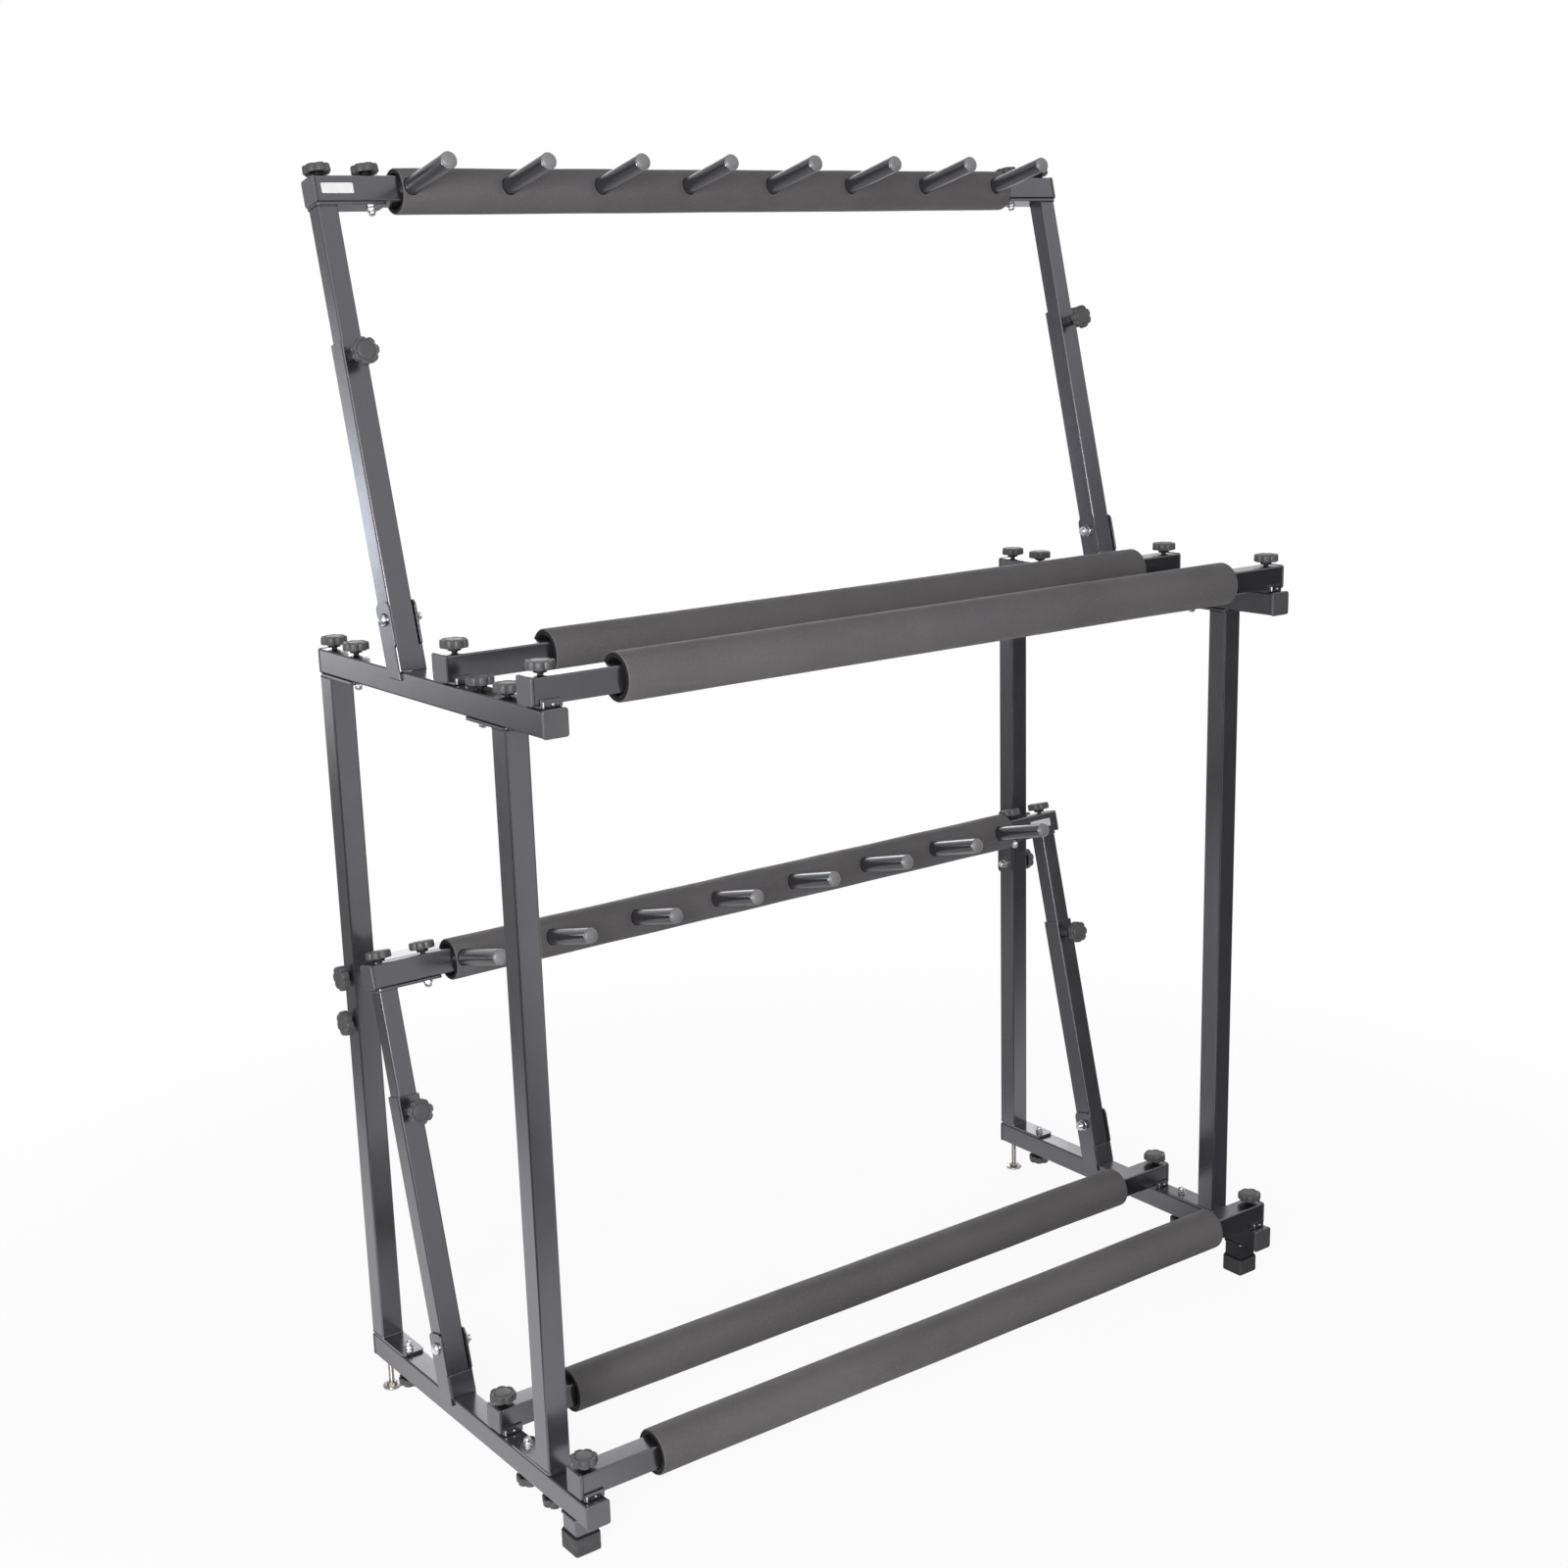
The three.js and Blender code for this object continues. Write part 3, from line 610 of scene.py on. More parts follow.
def bracket(tier):
    """Bent channel that the strut turns in, welded over the rail."""
    shape = Shape()
    c, s = math.cos(LEAN), math.sin(LEAN)
    inside = HALF + SEAT
    outside = inside + SHEET
    front, back = -outside, HALF

    def cut_at(u, height):
        """A level cut, seen from the leaning frame."""
        return (height + u * s) / c

    notch, big = 2.4, BRACKET_ROUND
    outline = [(back, cut_at(back, BRACKET_LOW)),
               (front + notch, cut_at(front + notch, BRACKET_LOW)),
               (front + notch, BRACKET_WEB - 0.6), (front + 1.5, BRACKET_WEB + 0.6),
               (front + 0.3, BRACKET_WEB + 1.4), (front, BRACKET_WEB + 2.6)]
    outline += [(front + big * (1 - math.cos(a)), BRACKET_CROWN - big * (1 - math.sin(a)))
                for a in quarter(6)]
    outline += [(back - big * (1 - math.sin(a)), BRACKET_CROWN - big * (1 - math.cos(a)))
                for a in quarter(6)]
    middle = Vector((-1.2, -18))
    for x in (-outside, inside):
        rings = []
        for dx, inset in ((0, 0.35), (0.12, 0.1), (0.35, 0), (SHEET - 0.35, 0),
                          (SHEET - 0.12, 0.1), (SHEET, 0.35)):
            ring = []
            for u, v in outline:
                off = Vector((u, v)) - middle
                scale = 1 - inset / max(off.length, 1)
                ring.append(leaned(middle.x + off.x * scale, middle.y + off.y * scale, tier,
                                   x + dx))
            rings.append(ring)
        shape.loft(rings)

    def channel(inset, height_rule):
        """A ring round the web, which is bent into both cheeks."""
        end, arc = -12.2, quarter(5)
        outer, inner = 2.6 - inset, 0.6 + inset
        wide, narrow = outside - inset, inside + inset
        ring = [(wide, end)]
        ring += [(wide - outer * (1 - math.cos(a)), outer * (1 - math.sin(a)) - wide)
                 for a in arc[1:]]
        ring += [(outer * (1 - math.sin(a)) - wide, outer * (1 - math.cos(a)) - wide)
                 for a in arc]
        ring += [(-narrow, end)]
        ring += [(inner * (1 - math.cos(a)) - narrow, inner * (1 - math.sin(a)) - narrow)
                 for a in arc[1:]]
        ring += [(narrow - inner * (1 - math.sin(a)), inner * (1 - math.cos(a)) - narrow)
                 for a in arc]
        return [leaned(u, height_rule(u), tier, x) for x, u in ring]

    shape.loft([channel(0, lambda u: cut_at(u, -PIVOT_UP + SEAT)),
                channel(0, lambda u: BRACKET_WEB - 0.4), channel(0.2, lambda u: BRACKET_WEB),
                channel(0.5, lambda u: BRACKET_WEB + 0.2)])
    seam_x, seam_end, parts = 13.2, 11.5, 22
    for side in SIDES.values():
        across = [seam_end * (2 * k / parts - 1) for k in range(parts + 1)]
        line = [leaned(u, cut_at(u, BRACKET_LOW + 0.3), tier, side * seam_x) for u in across]
        shape.bead(line, (1, 0, 0), BRACKET_WELD)
    return shape


def saddle(tier, y, s):
    """Bent sheet seat of a crossbar; its lip stands up in front of the bar."""
    top = TOPS[tier]
    base, lip, bend = top + SADDLE_BASE, top + SADDLE_LIP, 1.6
    face = y - HALF - SEAT - SHEET
    back = y + HALF
    section = [(back, base), (back, top), (face + bend, top)]
    section += [(face + bend * (1 - math.sin(a)), top + bend * (1 - math.cos(a)))
                for a in quarter(4)[1:]]
    section += [(face, lip - 0.5), (face + 0.25, lip - 0.1), (face + 0.6, lip),
                (face + 1.5, lip), (face + 1.9, lip - 0.2), (face + SHEET, lip - 0.6),
                (face + SHEET, base + 0.6), (face + 2.2, base + 0.15), (face + 2.7, base)]
    x_lo, x_hi = sorted((s * HALF, s * (SADDLE_SHORT - HALF)))
    edge = 0.25
    rings = []
    for x, inset in ((x_lo, edge), (x_lo + edge, 0), (x_hi - edge, 0), (x_hi, edge)):
        rings.append([(x, p + (inset if p < face + 1 else -inset if p > back - 1 else 0), q)
                      for p, q in section])
    return Shape().loft(rings)


def saddle_pins(tier, y):
    """Bright spots where the saddle's lip is fixed: a short pin and a round head."""
    top = TOPS[tier]
    face = y - HALF - SEAT - SHEET
    pin_x, head_x = 5 - HALF, 15 - HALF
    head = [(0.9, face - 1.1), (1.25, face - 0.8), (1.3, face + 0.2)]
    pin = [(0.5, top + 0.6), (0.95, top + 1.0), (1.0, top + 5.6), (0.8, top + 6.1),
           (0.35, top + 6.4)]
    pins = Shape().turned("y", head, (head_x, top + 3.0), count=16)
    return pins.turned("z", pin, (pin_x, face - 0.7), count=14)


for tier, top in TOPS.items():
    for side, s in SIDES.items():
        shift = place(s * SIDE_X)
        extra = bracket(tier)
        pins = Shape()
        for y in BARS.values():
            extra.take(saddle(tier, y, -s))
            pins.take(saddle_pins(tier, y))
        if tier == "lower":
            stub_top = top - TUBE
            extra.tube("z", square(TUBE, ROUND), square(TUBE - 2 * WALL, ROUND - WALL), FOOT_LOW,
                       stub_top + 0.4, (0, FOOT_Y))
            weld(extra, TUBE + 0.8, 2.4, stub_top - 0.5, (0, FOOT_Y), STUB_WELD)
        name = f"{tier}_{side}_side_rail"
        plugged_bar(f"{name}_frame", "y", -DEPTH / 2, DEPTH / 2, (0, top - HALF), "base_frame",
                    name, shift, extra)
        piece(f"{name}_saddle_pins", pins.moved(shift), ZINC, "base_frame", "zinc")


# ---------------------------------------------------------------- posts
LOW, HIGH = TOPS["lower"] + SEAT, TOPS["upper"] - TUBE - SEAT  # ends of every post
for spot, y, reach in (("front", FRONT_POST_Y, 1), ("rear", REAR_POST_Y, -1)):
    second = y + reach * PITCH
    for side, s in SIDES.items():
        x = s * SIDE_X
        body = Shape().prism("z", square(TUBE, ROUND), LOW + PLATE - SINK, HIGH - PLATE + SINK,
                             (x, y), edge=RAW_EDGE, steps=1)
        for z in (LOW, HIGH - PLATE):
            body.prism("z", box_section(TUBE, PLATE_LONG, PLATE_ROUND), z, z + PLATE,
                       (x, (y + second) / 2), edge=PLATE_EDGE)
        for z in (LOW + PLATE + WELD_LIFT, HIGH - PLATE - WELD_LIFT):
            weld(body, TUBE - WELD_IN, WELD_ROUND, z, (x, y))
        piece(f"{spot}_{side}_post_frame", body, COAT, "base_frame", "powder_coat",
              f"{spot}_{side}_post")
        heads = bolt_head(place(x, second, LOW + PLATE))
        heads.take(bolt_head(place(x, second, HIGH - PLATE, DOWN)))
        piece(f"{spot}_{side}_post_bolts", heads, ZINC, "base_frame", "zinc")
        for label, at in (("outer", y), ("inner", second)):
            knob(f"{spot}_{side}_post_{label}_top_knob", place(x, at, TOPS["upper"] + SEAT),
                 "base_frame")
        under = TOPS["lower"] - TUBE - SEAT
        for label, at in (("outer", y), ("inner", second)):
            if spot == "front" or label == "inner":
                knob(f"{spot}_{side}_post_{label}_foot_knob", place(x, at, under, DOWN),
                     "base_frame")


# ---------------------------------------------------------------- stretcher
END = SIDE_X - HALF - SEAT
beam = Shape().prism("x", square(TUBE, ROUND), -END + PLATE - SINK, END - PLATE + SINK,
                     (REAR_POST_Y, STRETCHER_Z), edge=RAW_EDGE, steps=1)
for s in SIDES.values():
    lo, hi = sorted((s * END, s * (END - PLATE)))
    beam.prism("x", box_section(TUBE, PLATE_LONG, PLATE_ROUND), lo, hi,
               (REAR_POST_Y, STRETCHER_Z - PITCH / 2), edge=PLATE_EDGE)
    seam = weld(Shape(), TUBE - WELD_IN, WELD_ROUND, 0, (0, 0))
    beam.take(seam.moved(place(s * (END - PLATE - WELD_LIFT), REAR_POST_Y, STRETCHER_Z,
                               sideways(1))))
piece("rear_stretcher_beam", beam, COAT, "base_frame", "powder_coat", "rear_stretcher")
heads = Shape()
for side, s in SIDES.items():
    heads.take(bolt_head(place(s * (END - PLATE), REAR_POST_Y, STRETCHER_Z - PITCH, sideways(-s))))
    for label, drop in (("upper", 0), ("lower", PITCH)):
        knob(f"stretcher_{side}_{label}_knob",
             place(s * (SIDE_X + HALF + SEAT), REAR_POST_Y, STRETCHER_Z - drop, sideways(s)),
             "base_frame")
piece("rear_stretcher_bolts", heads, ZINC, "base_frame", "zinc")


# ---------------------------------------------------------------- foam sleeves
def sleeve_shape(outside, length, seed, pegs=()):
    """Foam tube: cut square at its ends, slightly wavy, drawn in round each peg."""
    draw = random.Random(seed)
    waves = [(draw.uniform(0.004, 0.05), draw.uniform(0, 6.28), draw.choice((0, 1, 1, 2, 3)),
              draw.uniform(0, 6.28), draw.uniform(0.05, 0.13)) for _ in range(9)]
    count, edge = 72, 1.6
    dip, fade = 1.5, 4.5  # how deep and how wide a peg draws the foam in
    wobble, apart = 0.12, 4  # unevenness of the bore, and length of one step of the skin

    def surface(x, a, radius):
        r = radius
        for pitch, phase, order, turn, size in waves:
            r += size * math.sin(pitch * x + phase) * math.cos(order * a + turn)
        for peg in pegs:
            # the peg leaves through the side that faces -y, where a is 180 degrees
            across = radius * (a % (2 * math.pi) - math.pi)
            far = math.hypot(x - peg, across)
            r -= dip * math.exp(-((far - PEG_HOLE) / fade) ** 2) if far > PEG_HOLE else dip
        return r

    half, steps = length / 2, int(length / apart)
    rows = [(-half + edge * (1 - math.cos(a)), edge * (1 - math.sin(a)))
            for a in quarter(5)[:-1]]
    rows += [(-half + edge + (length - 2 * edge) * k / steps, 0) for k in range(steps + 1)]
    rows += [(half - edge * (1 - math.cos(a)), edge * (1 - math.sin(a)))
             for a in quarter(5)[-2::-1]]

    def skin(x, inset):
        points = []
        for k in range(count):
            a = 2 * math.pi * k / count
            r = surface(x, a, outside / 2) - inset
            points.append((x, r * math.cos(a), r * math.sin(a)))
        return points

    def hollow(x, inset):
        points = []
        for k in range(count):
            a = 2 * math.pi * k / count
            r = SLEEVE_BORE / 2 + inset + wobble * math.sin(3 * a + x / 90)
            points.append((x, r * math.cos(a), r * math.sin(a)))
        return points

    lips = [(half, 0.7), (half - 0.3, 0.25), (half - 0.8, 0)]
    lips += [(x, 0) for x in (half - 30, half / 2, 0, -half / 2, -half + 30)]
    lips += [(-half + 0.8, 0), (-half + 0.3, 0.25), (-half, 0.7)]
    rings = [skin(x, inset) for x, inset in rows] + [hollow(x, inset) for x, inset in lips]
    return Shape().loft(rings, loop=True)


def foam(name, shape, body, node, matrix, pegs=()):
    """A sleeve along x, placed by matrix, with a hole in its front for each peg."""
    near_bore, endwise = (SLEEVE_BORE / 2 + 0.5) * MM, 0.93

    # the bore and the cut ends take the near-black foam, which carries painted shade
    def cut(face):
        bore = math.hypot(face.center.y, face.center.z) < near_bore
        return bore or abs(face.normal.x) > endwise

    obj = add_object(name, two_tone(name, shape, FOAM, FOAM_CUT_AND_SHADE, cut))
    if pegs:
        cutter_shape = Shape()
        for x in pegs:
            cutter_shape.turned("y", [(PEG_HOLE, -40), (PEG_HOLE, 0)], (x, 0), count=40)
        cutter = add_object("cutter", mesh_of("cutter", cutter_shape), FOAM)
        bpy.context.view_layer.update()
        mod = obj.modifiers.new("holes", "BOOLEAN")
        mod.operation = "DIFFERENCE"
        mod.solver = "EXACT"
        mod.object = cutter
        bake_modifiers(obj)
        bpy.data.objects.remove(cutter)
        obj.data.set_sharp_from_angle(angle=SHARP)
    obj.data.transform(metres(matrix))
    weight_normals(obj)
    fitted(obj, body, "foam", node)


for tier, top in TOPS.items():
    for spot, y in BARS.items():
        name = f"{tier}_{spot}_crossbar"
        z = top + BAR_LIFT
        over_left, over_right = CROSS_OVER[tier]
        plugged_bar(f"{name}_tube", "x", -WIDTH / 2 - over_left, WIDTH / 2 + over_right, (y, z),
                    "base_frame", name)
        slip = SLIPS.get((tier, spot), SLIP)
        seed = {"upper": 3, "lower": 7}[tier] + BARS[spot] % 5
        foam(f"{name}_foam", sleeve_shape(CROSS_SLEEVE, CROSS_SLEEVE_LONG, seed), "base_frame",
             f"{name}_sleeve", place(slip, y, z))
        for side, s in SIDES.items():
            knob(f"{name}_{side}_star_knob", place(s * SIDE_X, y, z + HALF + SEAT), "base_frame",
                 f"{tier}_{spot}_{side}_crossbar_knob")


# ---------------------------------------------------------------- back frames
PEG_CAP = [(1.5, 0), (4.6, 0.1), (6.6, 0.6), (7.7, 1.4), (8.3, 2.4), (8.45, 3.1), (8.1, 3.3),
           (6.9, 3.35), (6.9, 11)]  # radius, and place from the cap's tip


def thread(shape, axis, radius, lo, hi, at=(0, 0)):
    """A threaded rod, its crests about a pitch apart."""
    pitch = 1.25
    count = int((hi - lo) / pitch)
    rows = [(radius - 0.55, lo)]
    for k in range(count):
        base = lo + (hi - lo) * k / count
        rows += [(radius - 0.45, base + 0.12), (radius, base + pitch * 0.42),
                 (radius, base + pitch * 0.55)]
    rows += [(radius - 0.55, hi - 0.1), (radius - 0.9, hi)]
    shape.turned(axis, rows, at, count=20)


for tier, top in TOPS.items():
    matrix = back_matrix(tier)
    reach = REACHES[tier]
    slider, struts = f"{tier}_back_slider", f"{tier}_struts"

    steel, caps = Shape(), Shape()
    for x in PEGS:
        steel.turned("y", [(PEG_RADIUS - 0.4, -PEG_STEEL - 0.4), (PEG_RADIUS, -PEG_STEEL),
                           (PEG_RADIUS, -HALF + 1)], (x, reach), count=40)
        caps.turned("y", [(radius, z - PEG_REACH) for radius, z in PEG_CAP], (x, reach), count=40)
    end = WIDTH / 2 + BACK_OVER[tier]
    plugged_bar(f"{tier}_back_bar_tube", "x", -end, end, (0, reach), slider, f"{tier}_back_bar",
                matrix, steel)
    piece(f"{tier}_back_bar_peg_caps", caps.moved(matrix), CAPS, slider, "knob_plastic")
    holes = [x - BACK_SLIP for x in PEGS]
    foam(f"{tier}_back_foam", sleeve_shape(BACK_SLEEVE, BACK_SLEEVE_LONG, 17 + reach, holes),
         slider, f"{tier}_back_sleeve", matrix @ place(BACK_SLIP, 0, reach), holes)

    s = -1 if tier == "upper" else 1
    sheet = Shape().prism("y", box_section(STICKER, STICKER_HIGH, STICKER_ROUND), -HALF - 0.35,
                          -HALF - 0.05, (s * (WIDTH / 2 - STICKER_IN - STICKER / 2), reach),
                          edge=0.08, steps=2)
    piece(f"{tier}_back_bar_sticker", sheet.moved(matrix), PAPER, slider, "label",
          f"{tier}_back_bar_label")

    for side, s in SIDES.items():
        x = s * SIDE_X
        strut = Shape().tube("z", square(TUBE, ROUND), square(TUBE - 2 * WALL, 0.8), STRUT_LOW,
                             STRUT_HIGH, (x, 0), edge=0.4)
        hex_body(strut, "y", NUT_ACROSS, -HALF - CLAMP_NUT, 0.3 - HALF, (x, CLAMP_Z))
        piece(f"{tier}_{side}_outer_strut_tube", strut.moved(matrix), COAT, struts, "powder_coat",
              f"{tier}_{side}_outer_strut")

        under = reach - HALF - SEAT
        inner = Shape().tube("z", square(SLIDER, 1.6), square(SLIDER_BORE, 0.6),
                             reach - SLIDER_DEEP, under - PLATE + SINK, (x, 0), edge=0.3)
        inner.prism("z", box_section(PLATE_LONG, TUBE, PLATE_ROUND), under - PLATE, under,
                    (x - s * PITCH / 2, 0), edge=PLATE_EDGE)
        weld(inner, SLIDER - 1, 1.2, under - PLATE - WELD_LIFT, (x, 0))
        piece(f"{tier}_{side}_inner_strut_tube", inner.moved(matrix), COAT, slider, "powder_coat",
              f"{tier}_{side}_inner_strut")

        heads = Shape()
        for label, inset in (("outer", 0), ("inner", PITCH)):
            bx = s * (SIDE_X - inset)
            if label == "inner":
                heads.take(bolt_head(place(bx, 0, under - PLATE, DOWN)))
            knob(f"{tier}_{side}_{label}_bar_star_knob",
                 matrix @ place(bx, 0, reach + HALF + SEAT), slider,
                 f"{tier}_{side}_{label}_bar_knob")
        piece(f"{tier}_{side}_bar_bolt", heads.moved(matrix), ZINC, slider, "zinc")
        knob(f"{tier}_{side}_clamp_star_knob",
             matrix @ place(x, -HALF - CLAMP_NUT - SEAT, CLAMP_Z, FORWARD),
             f"{tier}_{side}_clamp", f"{tier}_{side}_clamp_knob", mesh=CLAMP_MESH)

        face = HALF + SEAT + SHEET + SEAT
        bolt = Shape()
        bolt.turned("x", [(6.3, face - 0.2), (6.5, face), (6.4, face + 1.2), (6.0, face + 2.4),
                          (5.1, face + 3.5), (3.7, face + 4.3), (2.0, face + 4.7),
                          (0.5, face + 4.8)], count=40)
        bolt.turned("x", [(4, -face - 7), (4, face + 1)], count=24)
        bolt.turned("x", [(6.5, -face - 0.8), (6.7, -face - 0.6), (6.7, -face),
                          (6.5, -face + 0.2)], count=36)
        hex_body(bolt, "x", NUT_ACROSS, -face - 5.6, -face - 0.8)
        bolt.turned("x", [(4.3, -face - 6.5), (5.0, -face - 6.4), (5.4, -face - 5.9),
                          (5.5, -face - 5.5)])
        thread(bolt, "x", 3.95, -face - 9.4, -face - 6)
        if s < 0:
            bolt.moved(Matrix.Rotation(math.pi, 4, "Z"))
        bolt.moved(place(x, PIVOT_Y, top + PIVOT_UP))
        piece(f"{tier}_{side}_pivot_screw", bolt, ZINC, "base_frame", "zinc",
              f"{tier}_{side}_pivot_bolt")


# ---------------------------------------------------------------- feet
def cap_section(inset, radius):
    return rounded(CAP - 2 * inset, CAP - 2 * inset, radius)


for side, s in SIDES.items():
    x = s * SIDE_X
    at = (x, FOOT_Y)
    wall = [(0, 1.4), (0.5, 0.6), (1.4, 0.15), (2.4, 0), (7.4, 0.05), (7.9, 0.35), (8.6, 0.35),
            (9.1, 0.08), (18.6, 0.1), (19.0, 0.25), (CAP_LIP, 0.6), (CAP_LIP + 0.05, 1.2),
            (CAP_TALL - 0.2, 1.25), (CAP_TALL, 1.4)]
    pocket = [(CAP_TALL - 0.1, CAP_WALL - 0.1), (CAP_TALL - 0.4, CAP_WALL),
              (CAP_TALL - 1, CAP_WALL), (3.1, CAP_WALL), (3.0, 2.0)]
    rings = [lay("z", cap_section(inset, 3 - min(inset, 2.5)), z, at) for z, inset in wall]
    rings += [lay("z", cap_section(inset, 1.6), z, at) for z, inset in pocket]
    name = f"{side}_front_rubber_cap"
    # the band above the lip and the top of the pocket take the painted shade, for the dark line at
    # the rim
    obj = add_object(name, two_tone(name, Shape().loft(rings), RUBBER, PAINTED_SHADE,
                                    lambda face: face.center.z > CAP_LIP * MM))
    weight_normals(obj)
    fitted(obj, "base_frame", "rubber", f"{side}_front_foot_cap")

    at = (x, REAR_POST_Y)
    foot = Shape()
    foot.turned("z", [(8.6, 0), (9.7, 0.3), (LEVELLER, 1.0), (LEVELLER, 1.9), (9.6, 2.5),
                      (8.2, 2.9), (6.2, 3.2)], at, count=40)
    hex_body(foot, "z", LEVELLER_NUT, 3.1, 7, at)
    thread(foot, "z", 3, 6.9, LEVELLER_TOP, at)
    piece(f"{side}_rear_foot", foot, WORN, f"{side}_leveller", "zinc", f"{side}_rear_leveller")


# ---------------------------------------------------------------- camera
FOCAL_PX, IMAGE_PX, SENSOR = 2204.4, 1600, 36
EYE = (-1385.4, -1808.8, 1188.4)
AZIMUTH, ELEVATION, ROLL = (math.radians(a) for a in (-36.367, 13.92, -1.59))
CENTRE_PX = (805.1, 822.5)

ahead = Vector((-math.sin(AZIMUTH) * math.cos(ELEVATION), math.cos(AZIMUTH) * math.cos(ELEVATION),
                -math.sin(ELEVATION)))
right = ahead.cross(Vector((0, 0, 1))).normalized()
over = right.cross(ahead)
image_right = math.cos(ROLL) * right + math.sin(ROLL) * over
image_up = -math.sin(ROLL) * right + math.cos(ROLL) * over
lens = bpy.data.cameras.new("camera")
lens.sensor_fit, lens.sensor_width = "HORIZONTAL", SENSOR
lens.lens = FOCAL_PX / IMAGE_PX * SENSOR
lens.shift_x = (IMAGE_PX / 2 - CENTRE_PX[0]) / IMAGE_PX
lens.shift_y = (CENTRE_PX[1] - IMAGE_PX / 2) / IMAGE_PX
lens.clip_start, lens.clip_end = 0.05, 400
camera = bpy.data.objects.new("camera", lens)
bpy.context.scene.collection.objects.link(camera)
camera.matrix_world = (Matrix.Translation(Vector(EYE) * MM)
                       @ Matrix((image_right, image_up, -ahead)).transposed().to_4x4())
bpy.context.scene.camera = camera


# ---------------------------------------------------------------- stage
class Links:
    """A short way to write the shader of the floor and of the world."""

    def __init__(self, tree):
        self.nodes, self.links = tree.nodes, tree.links
        self.nodes.clear()
        self.path = self.nodes.new("ShaderNodeLightPath").outputs

    def fill(self, node, values):
        for key, value in values.items():
            if isinstance(value, bpy.types.NodeSocket):
                self.links.new(value, node.inputs[key])
            else:
                node.inputs[key].default_value = value
        return node

    def math(self, operation, a, b):
        node = self.nodes.new("ShaderNodeMath")
        node.operation = operation
        return self.fill(node, {0: a, 1: b}).outputs[0]

    def vector(self, operation, a, b=(0, 0, 0)):
        node = self.nodes.new("ShaderNodeVectorMath")
        node.operation = operation
        return self.fill(node, {0: a, 1: b}).outputs["Value"]

    def ramp(self, value, low, high, to_low, to_high):
        node = self.nodes.new("ShaderNodeMapRange")
        node.interpolation_type = "SMOOTHSTEP"
        return self.fill(node, {"Value": value, "From Min": low, "From Max": high,
                                "To Min": to_low, "To Max": to_high}).outputs["Result"]

    def glow(self, kind, strength, colour=(1, 1, 1)):
        node = self.nodes.new(kind)
        return self.fill(node, {"Color": (*colour, 1), "Strength": strength}).outputs[0]

    def mix(self, share, a, b):
        return self.fill(self.nodes.new("ShaderNodeMixShader"), {0: share, 1: a, 2: b}).outputs[0]

    def mirrored(self):
        return self.math("MAXIMUM", self.path["Is Glossy Ray"], self.path["Is Transmission Ray"])

    def seen(self):
        """1 for the eye and for what metal mirrors, 0 for the light on the object."""
        return self.math("MAXIMUM", self.path["Is Camera Ray"], self.mirrored())

    def white(self, kind, mirrored_strength):
        """White to the eye; metal mirrors it at a strength of its own."""
        gap = self.math("SUBTRACT", 1, mirrored_strength)
        lost = self.math("MULTIPLY", gap, self.mirrored())
        return self.glow(kind, self.math("SUBTRACT", 1, lost))


# Two level directions for what the floor and the world look like in a mirror. They are
# white in front of and behind the stand, and dimmer in patches to its left and right.
ACROSS = (0.67, 0.74, 0)
LEFTWARD = (-0.74, 0.67, 0)


def floor_material():
    material = bpy.data.materials.new("floor")
    material.use_nodes = True
    net = Links(material.node_tree)
    paint = net.fill(net.nodes.new("ShaderNodeBsdfDiffuse"), {"Color": (0.90, 0.90, 0.90, 1)})
    where = net.nodes.new("ShaderNodeTexCoord").outputs["Object"]
    far = net.vector("LENGTH", where)
    share = net.math("MULTIPLY", net.seen(), net.ramp(far, 0.45, 1.8, 0.93, 1.0))
    beside = net.math("DIVIDE", net.vector("DOT_PRODUCT", where, ACROSS),
                      net.math("ADD", far, 0.3))
    aside = net.math("ABSOLUTE", beside, 0)
    along = net.vector("DOT_PRODUCT", where, LEFTWARD)
    # Painted shadow in the mirrored floor: behind and to the left, its glow falls from 1 to 0.4 as
    # x + y / 4 rises from -0.49 m to -0.36 m, which is under the stand.
    corner = net.vector("DOT_PRODUCT", where, (1, 0.25, 0))
    rightward = net.ramp(aside, 0.19, 0.42, 0.06, 0.97)
    leftward = net.math("MULTIPLY", net.ramp(along, 0.85, 1.6, 1.25, 0.3),
                        net.ramp(corner, -0.49, -0.36, 1.0, 0.4))
    distant = net.math("MULTIPLY", net.ramp(far, 3.4, 4.6, 0, 1.6),
                       net.ramp(aside, 0.12, 0.3, 0, 1))
    dim = net.ramp(along, -0.1, 0.1, rightward, net.math("MAXIMUM", leftward, distant))
    shade = net.math("MAXIMUM", net.ramp(beside, -0.62, -0.46, 0.05, 1),
                     net.ramp(far, 0.6, 0.95, 1, 0))
    glow = net.white("ShaderNodeEmission", net.math("MULTIPLY", dim, shade))
    out = net.nodes.new("ShaderNodeOutputMaterial")
    net.fill(out, {"Surface": net.mix(share, paint.outputs[0], glow)})
    return material


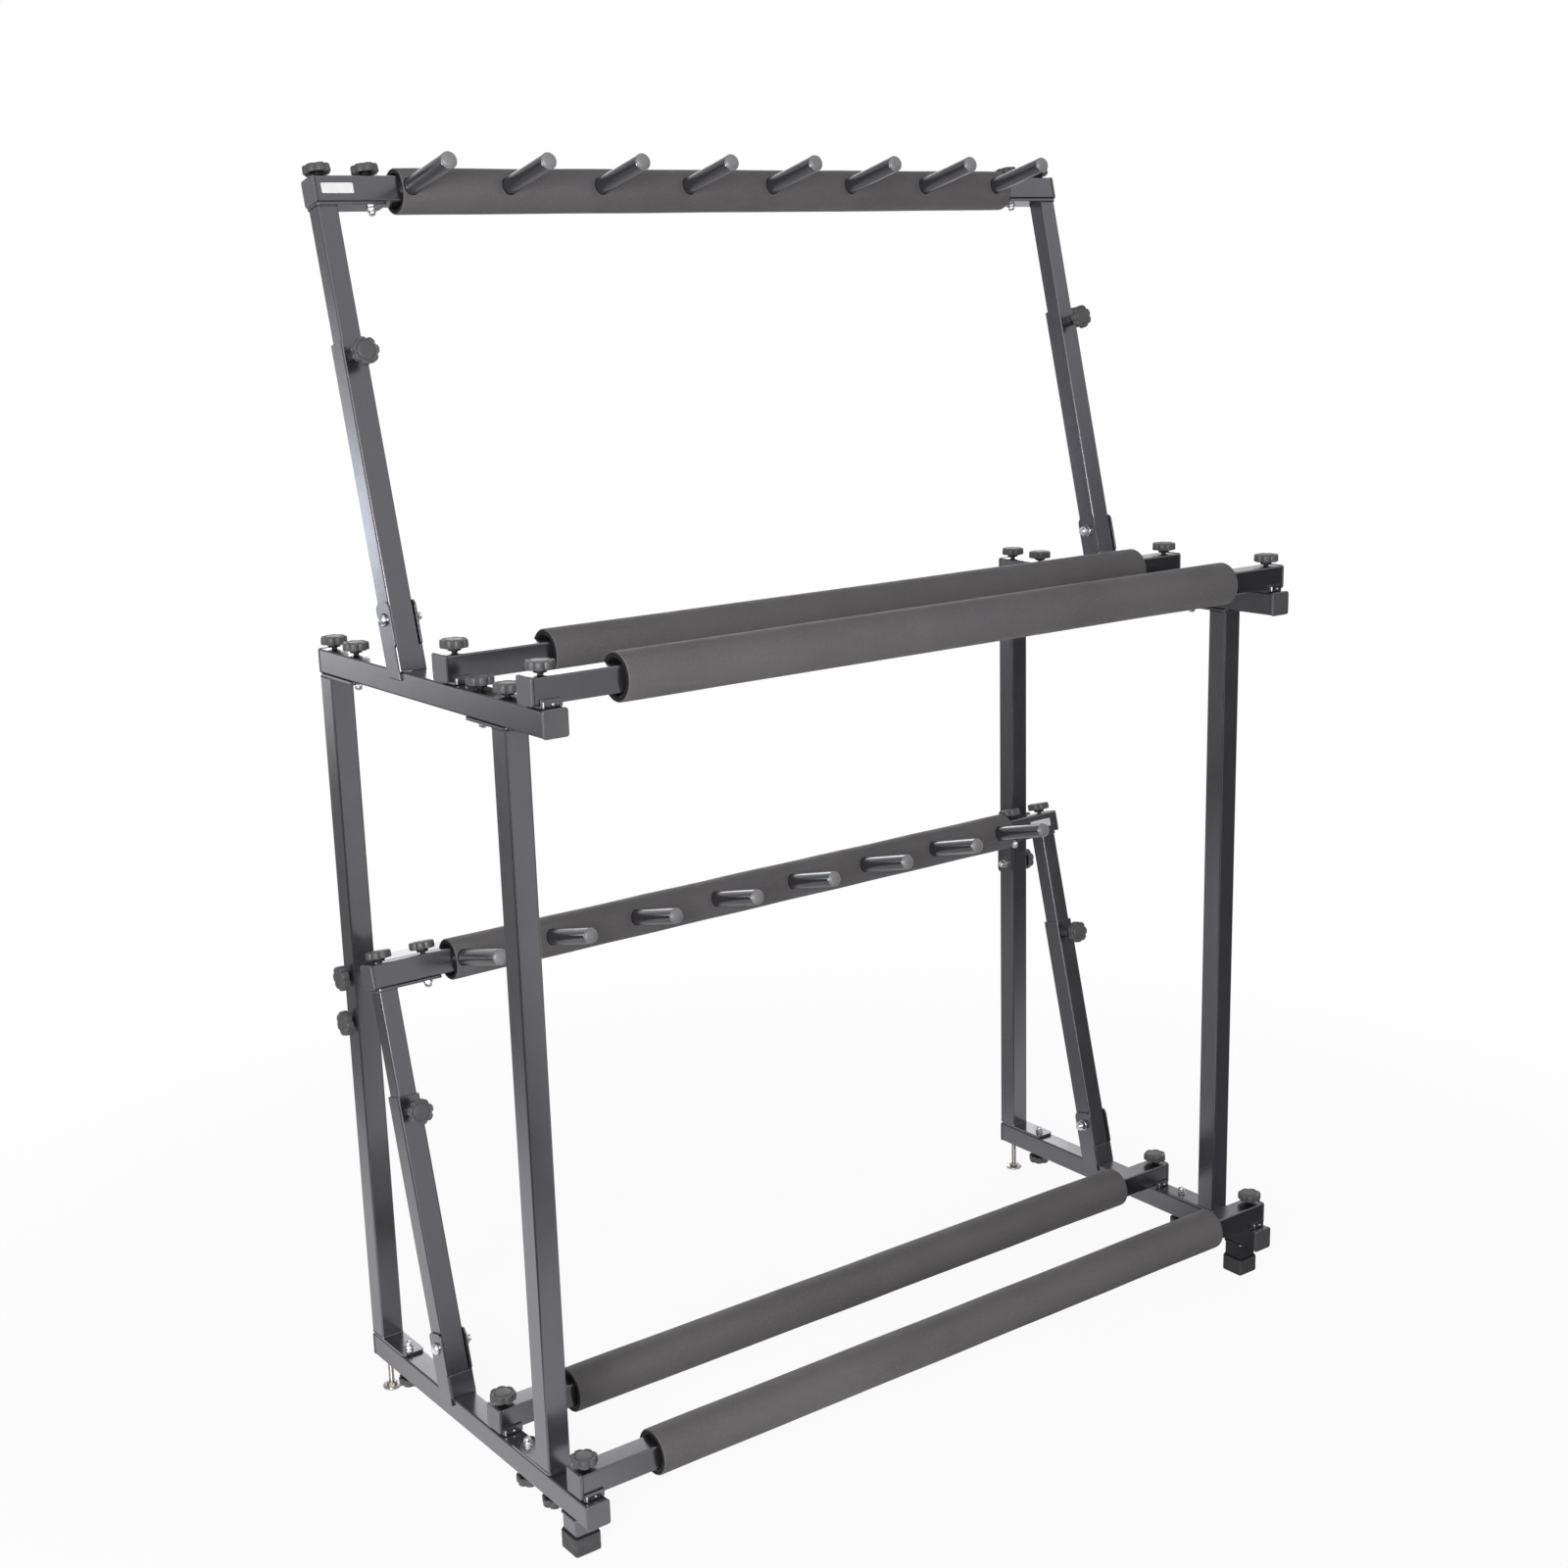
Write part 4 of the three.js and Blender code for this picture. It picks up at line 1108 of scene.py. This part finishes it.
FLOOR_REACH, FLOOR_Z = 60, -0.0005
corners = [(x * FLOOR_REACH, y * FLOOR_REACH, FLOOR_Z)
           for x, y in ((-1, -1), (1, -1), (1, 1), (-1, 1))]
floor_mesh = bpy.data.meshes.new("floor")
floor_mesh.from_pydata(corners, [], [(0, 1, 2, 3)])
floor = add_object("floor", floor_mesh, floor_material())

world = bpy.data.worlds.new("studio")
bpy.context.scene.world = world
world.use_nodes = True
net = Links(world.node_tree)
way = net.nodes.new("ShaderNodeTexCoord").outputs["Generated"]
beside = net.math("ABSOLUTE", net.vector("DOT_PRODUCT", way, ACROSS), 0)
high = net.ramp(net.vector("DOT_PRODUCT", way, (0, 0, 1)), 0.17, 0.335, 0.12, 1.05)
mirror = net.ramp(beside, 0.12, 0.28, high, 0.95)
mirror = net.ramp(net.vector("DOT_PRODUCT", way, LEFTWARD), -0.2, 0.2, mirror, 0.45)
mirror = net.ramp(beside, 0.45, 0.8, mirror, 1.0)
soft = net.glow("ShaderNodeBackground", 0.22, (0.98, 0.985, 1.0))
net.fill(net.nodes.new("ShaderNodeOutputWorld"),
         {"Surface": net.mix(net.seen(), soft, net.white("ShaderNodeBackground", mirror))})


def lamp(name, at, aim, size, power, colour=(1, 1, 1)):
    """A rectangular lamp that the eye doesn't see; places in metres, power in watts."""
    data = bpy.data.lights.new(name, "AREA")
    data.shape = "RECTANGLE"
    data.size, data.size_y = size
    data.energy = power
    data.color = colour
    obj = bpy.data.objects.new(name, data)
    bpy.context.scene.collection.objects.link(obj)
    obj.location = at
    obj.rotation_euler = (Vector(aim) - Vector(at)).to_track_quat("-Z", "Y").to_euler()
    obj.visible_camera = False


lamp("key", (-0.6, -7.4, 1.6), (0, 0, 0.8), (3.4, 3.4), 60)
lamp("near_left", (-1.9, -1.5, 1.1), (0, 0, 0.7), (0.9, 0.9), 42)
lamp("side", (-2.1, 3.9, 0.52), (0, 0, 0.7), (1.0, 0.36), 3.5, (0.76, 0.88, 1.0))
lamp("back", (2.2, 3.6, 1.7), (0, 0, 0.7), (2.4, 1.4), 26)
lamp("front_left", (-2.2, -3.2, 2.4), (0, 0, 0.6), (1.8, 1.8), 8)
lamp("top", (-0.2, -0.6, 3.4), (0, 0, 0.7), (2.0, 2.0), 5)

bpy.context.scene.view_settings.view_transform = "Standard"
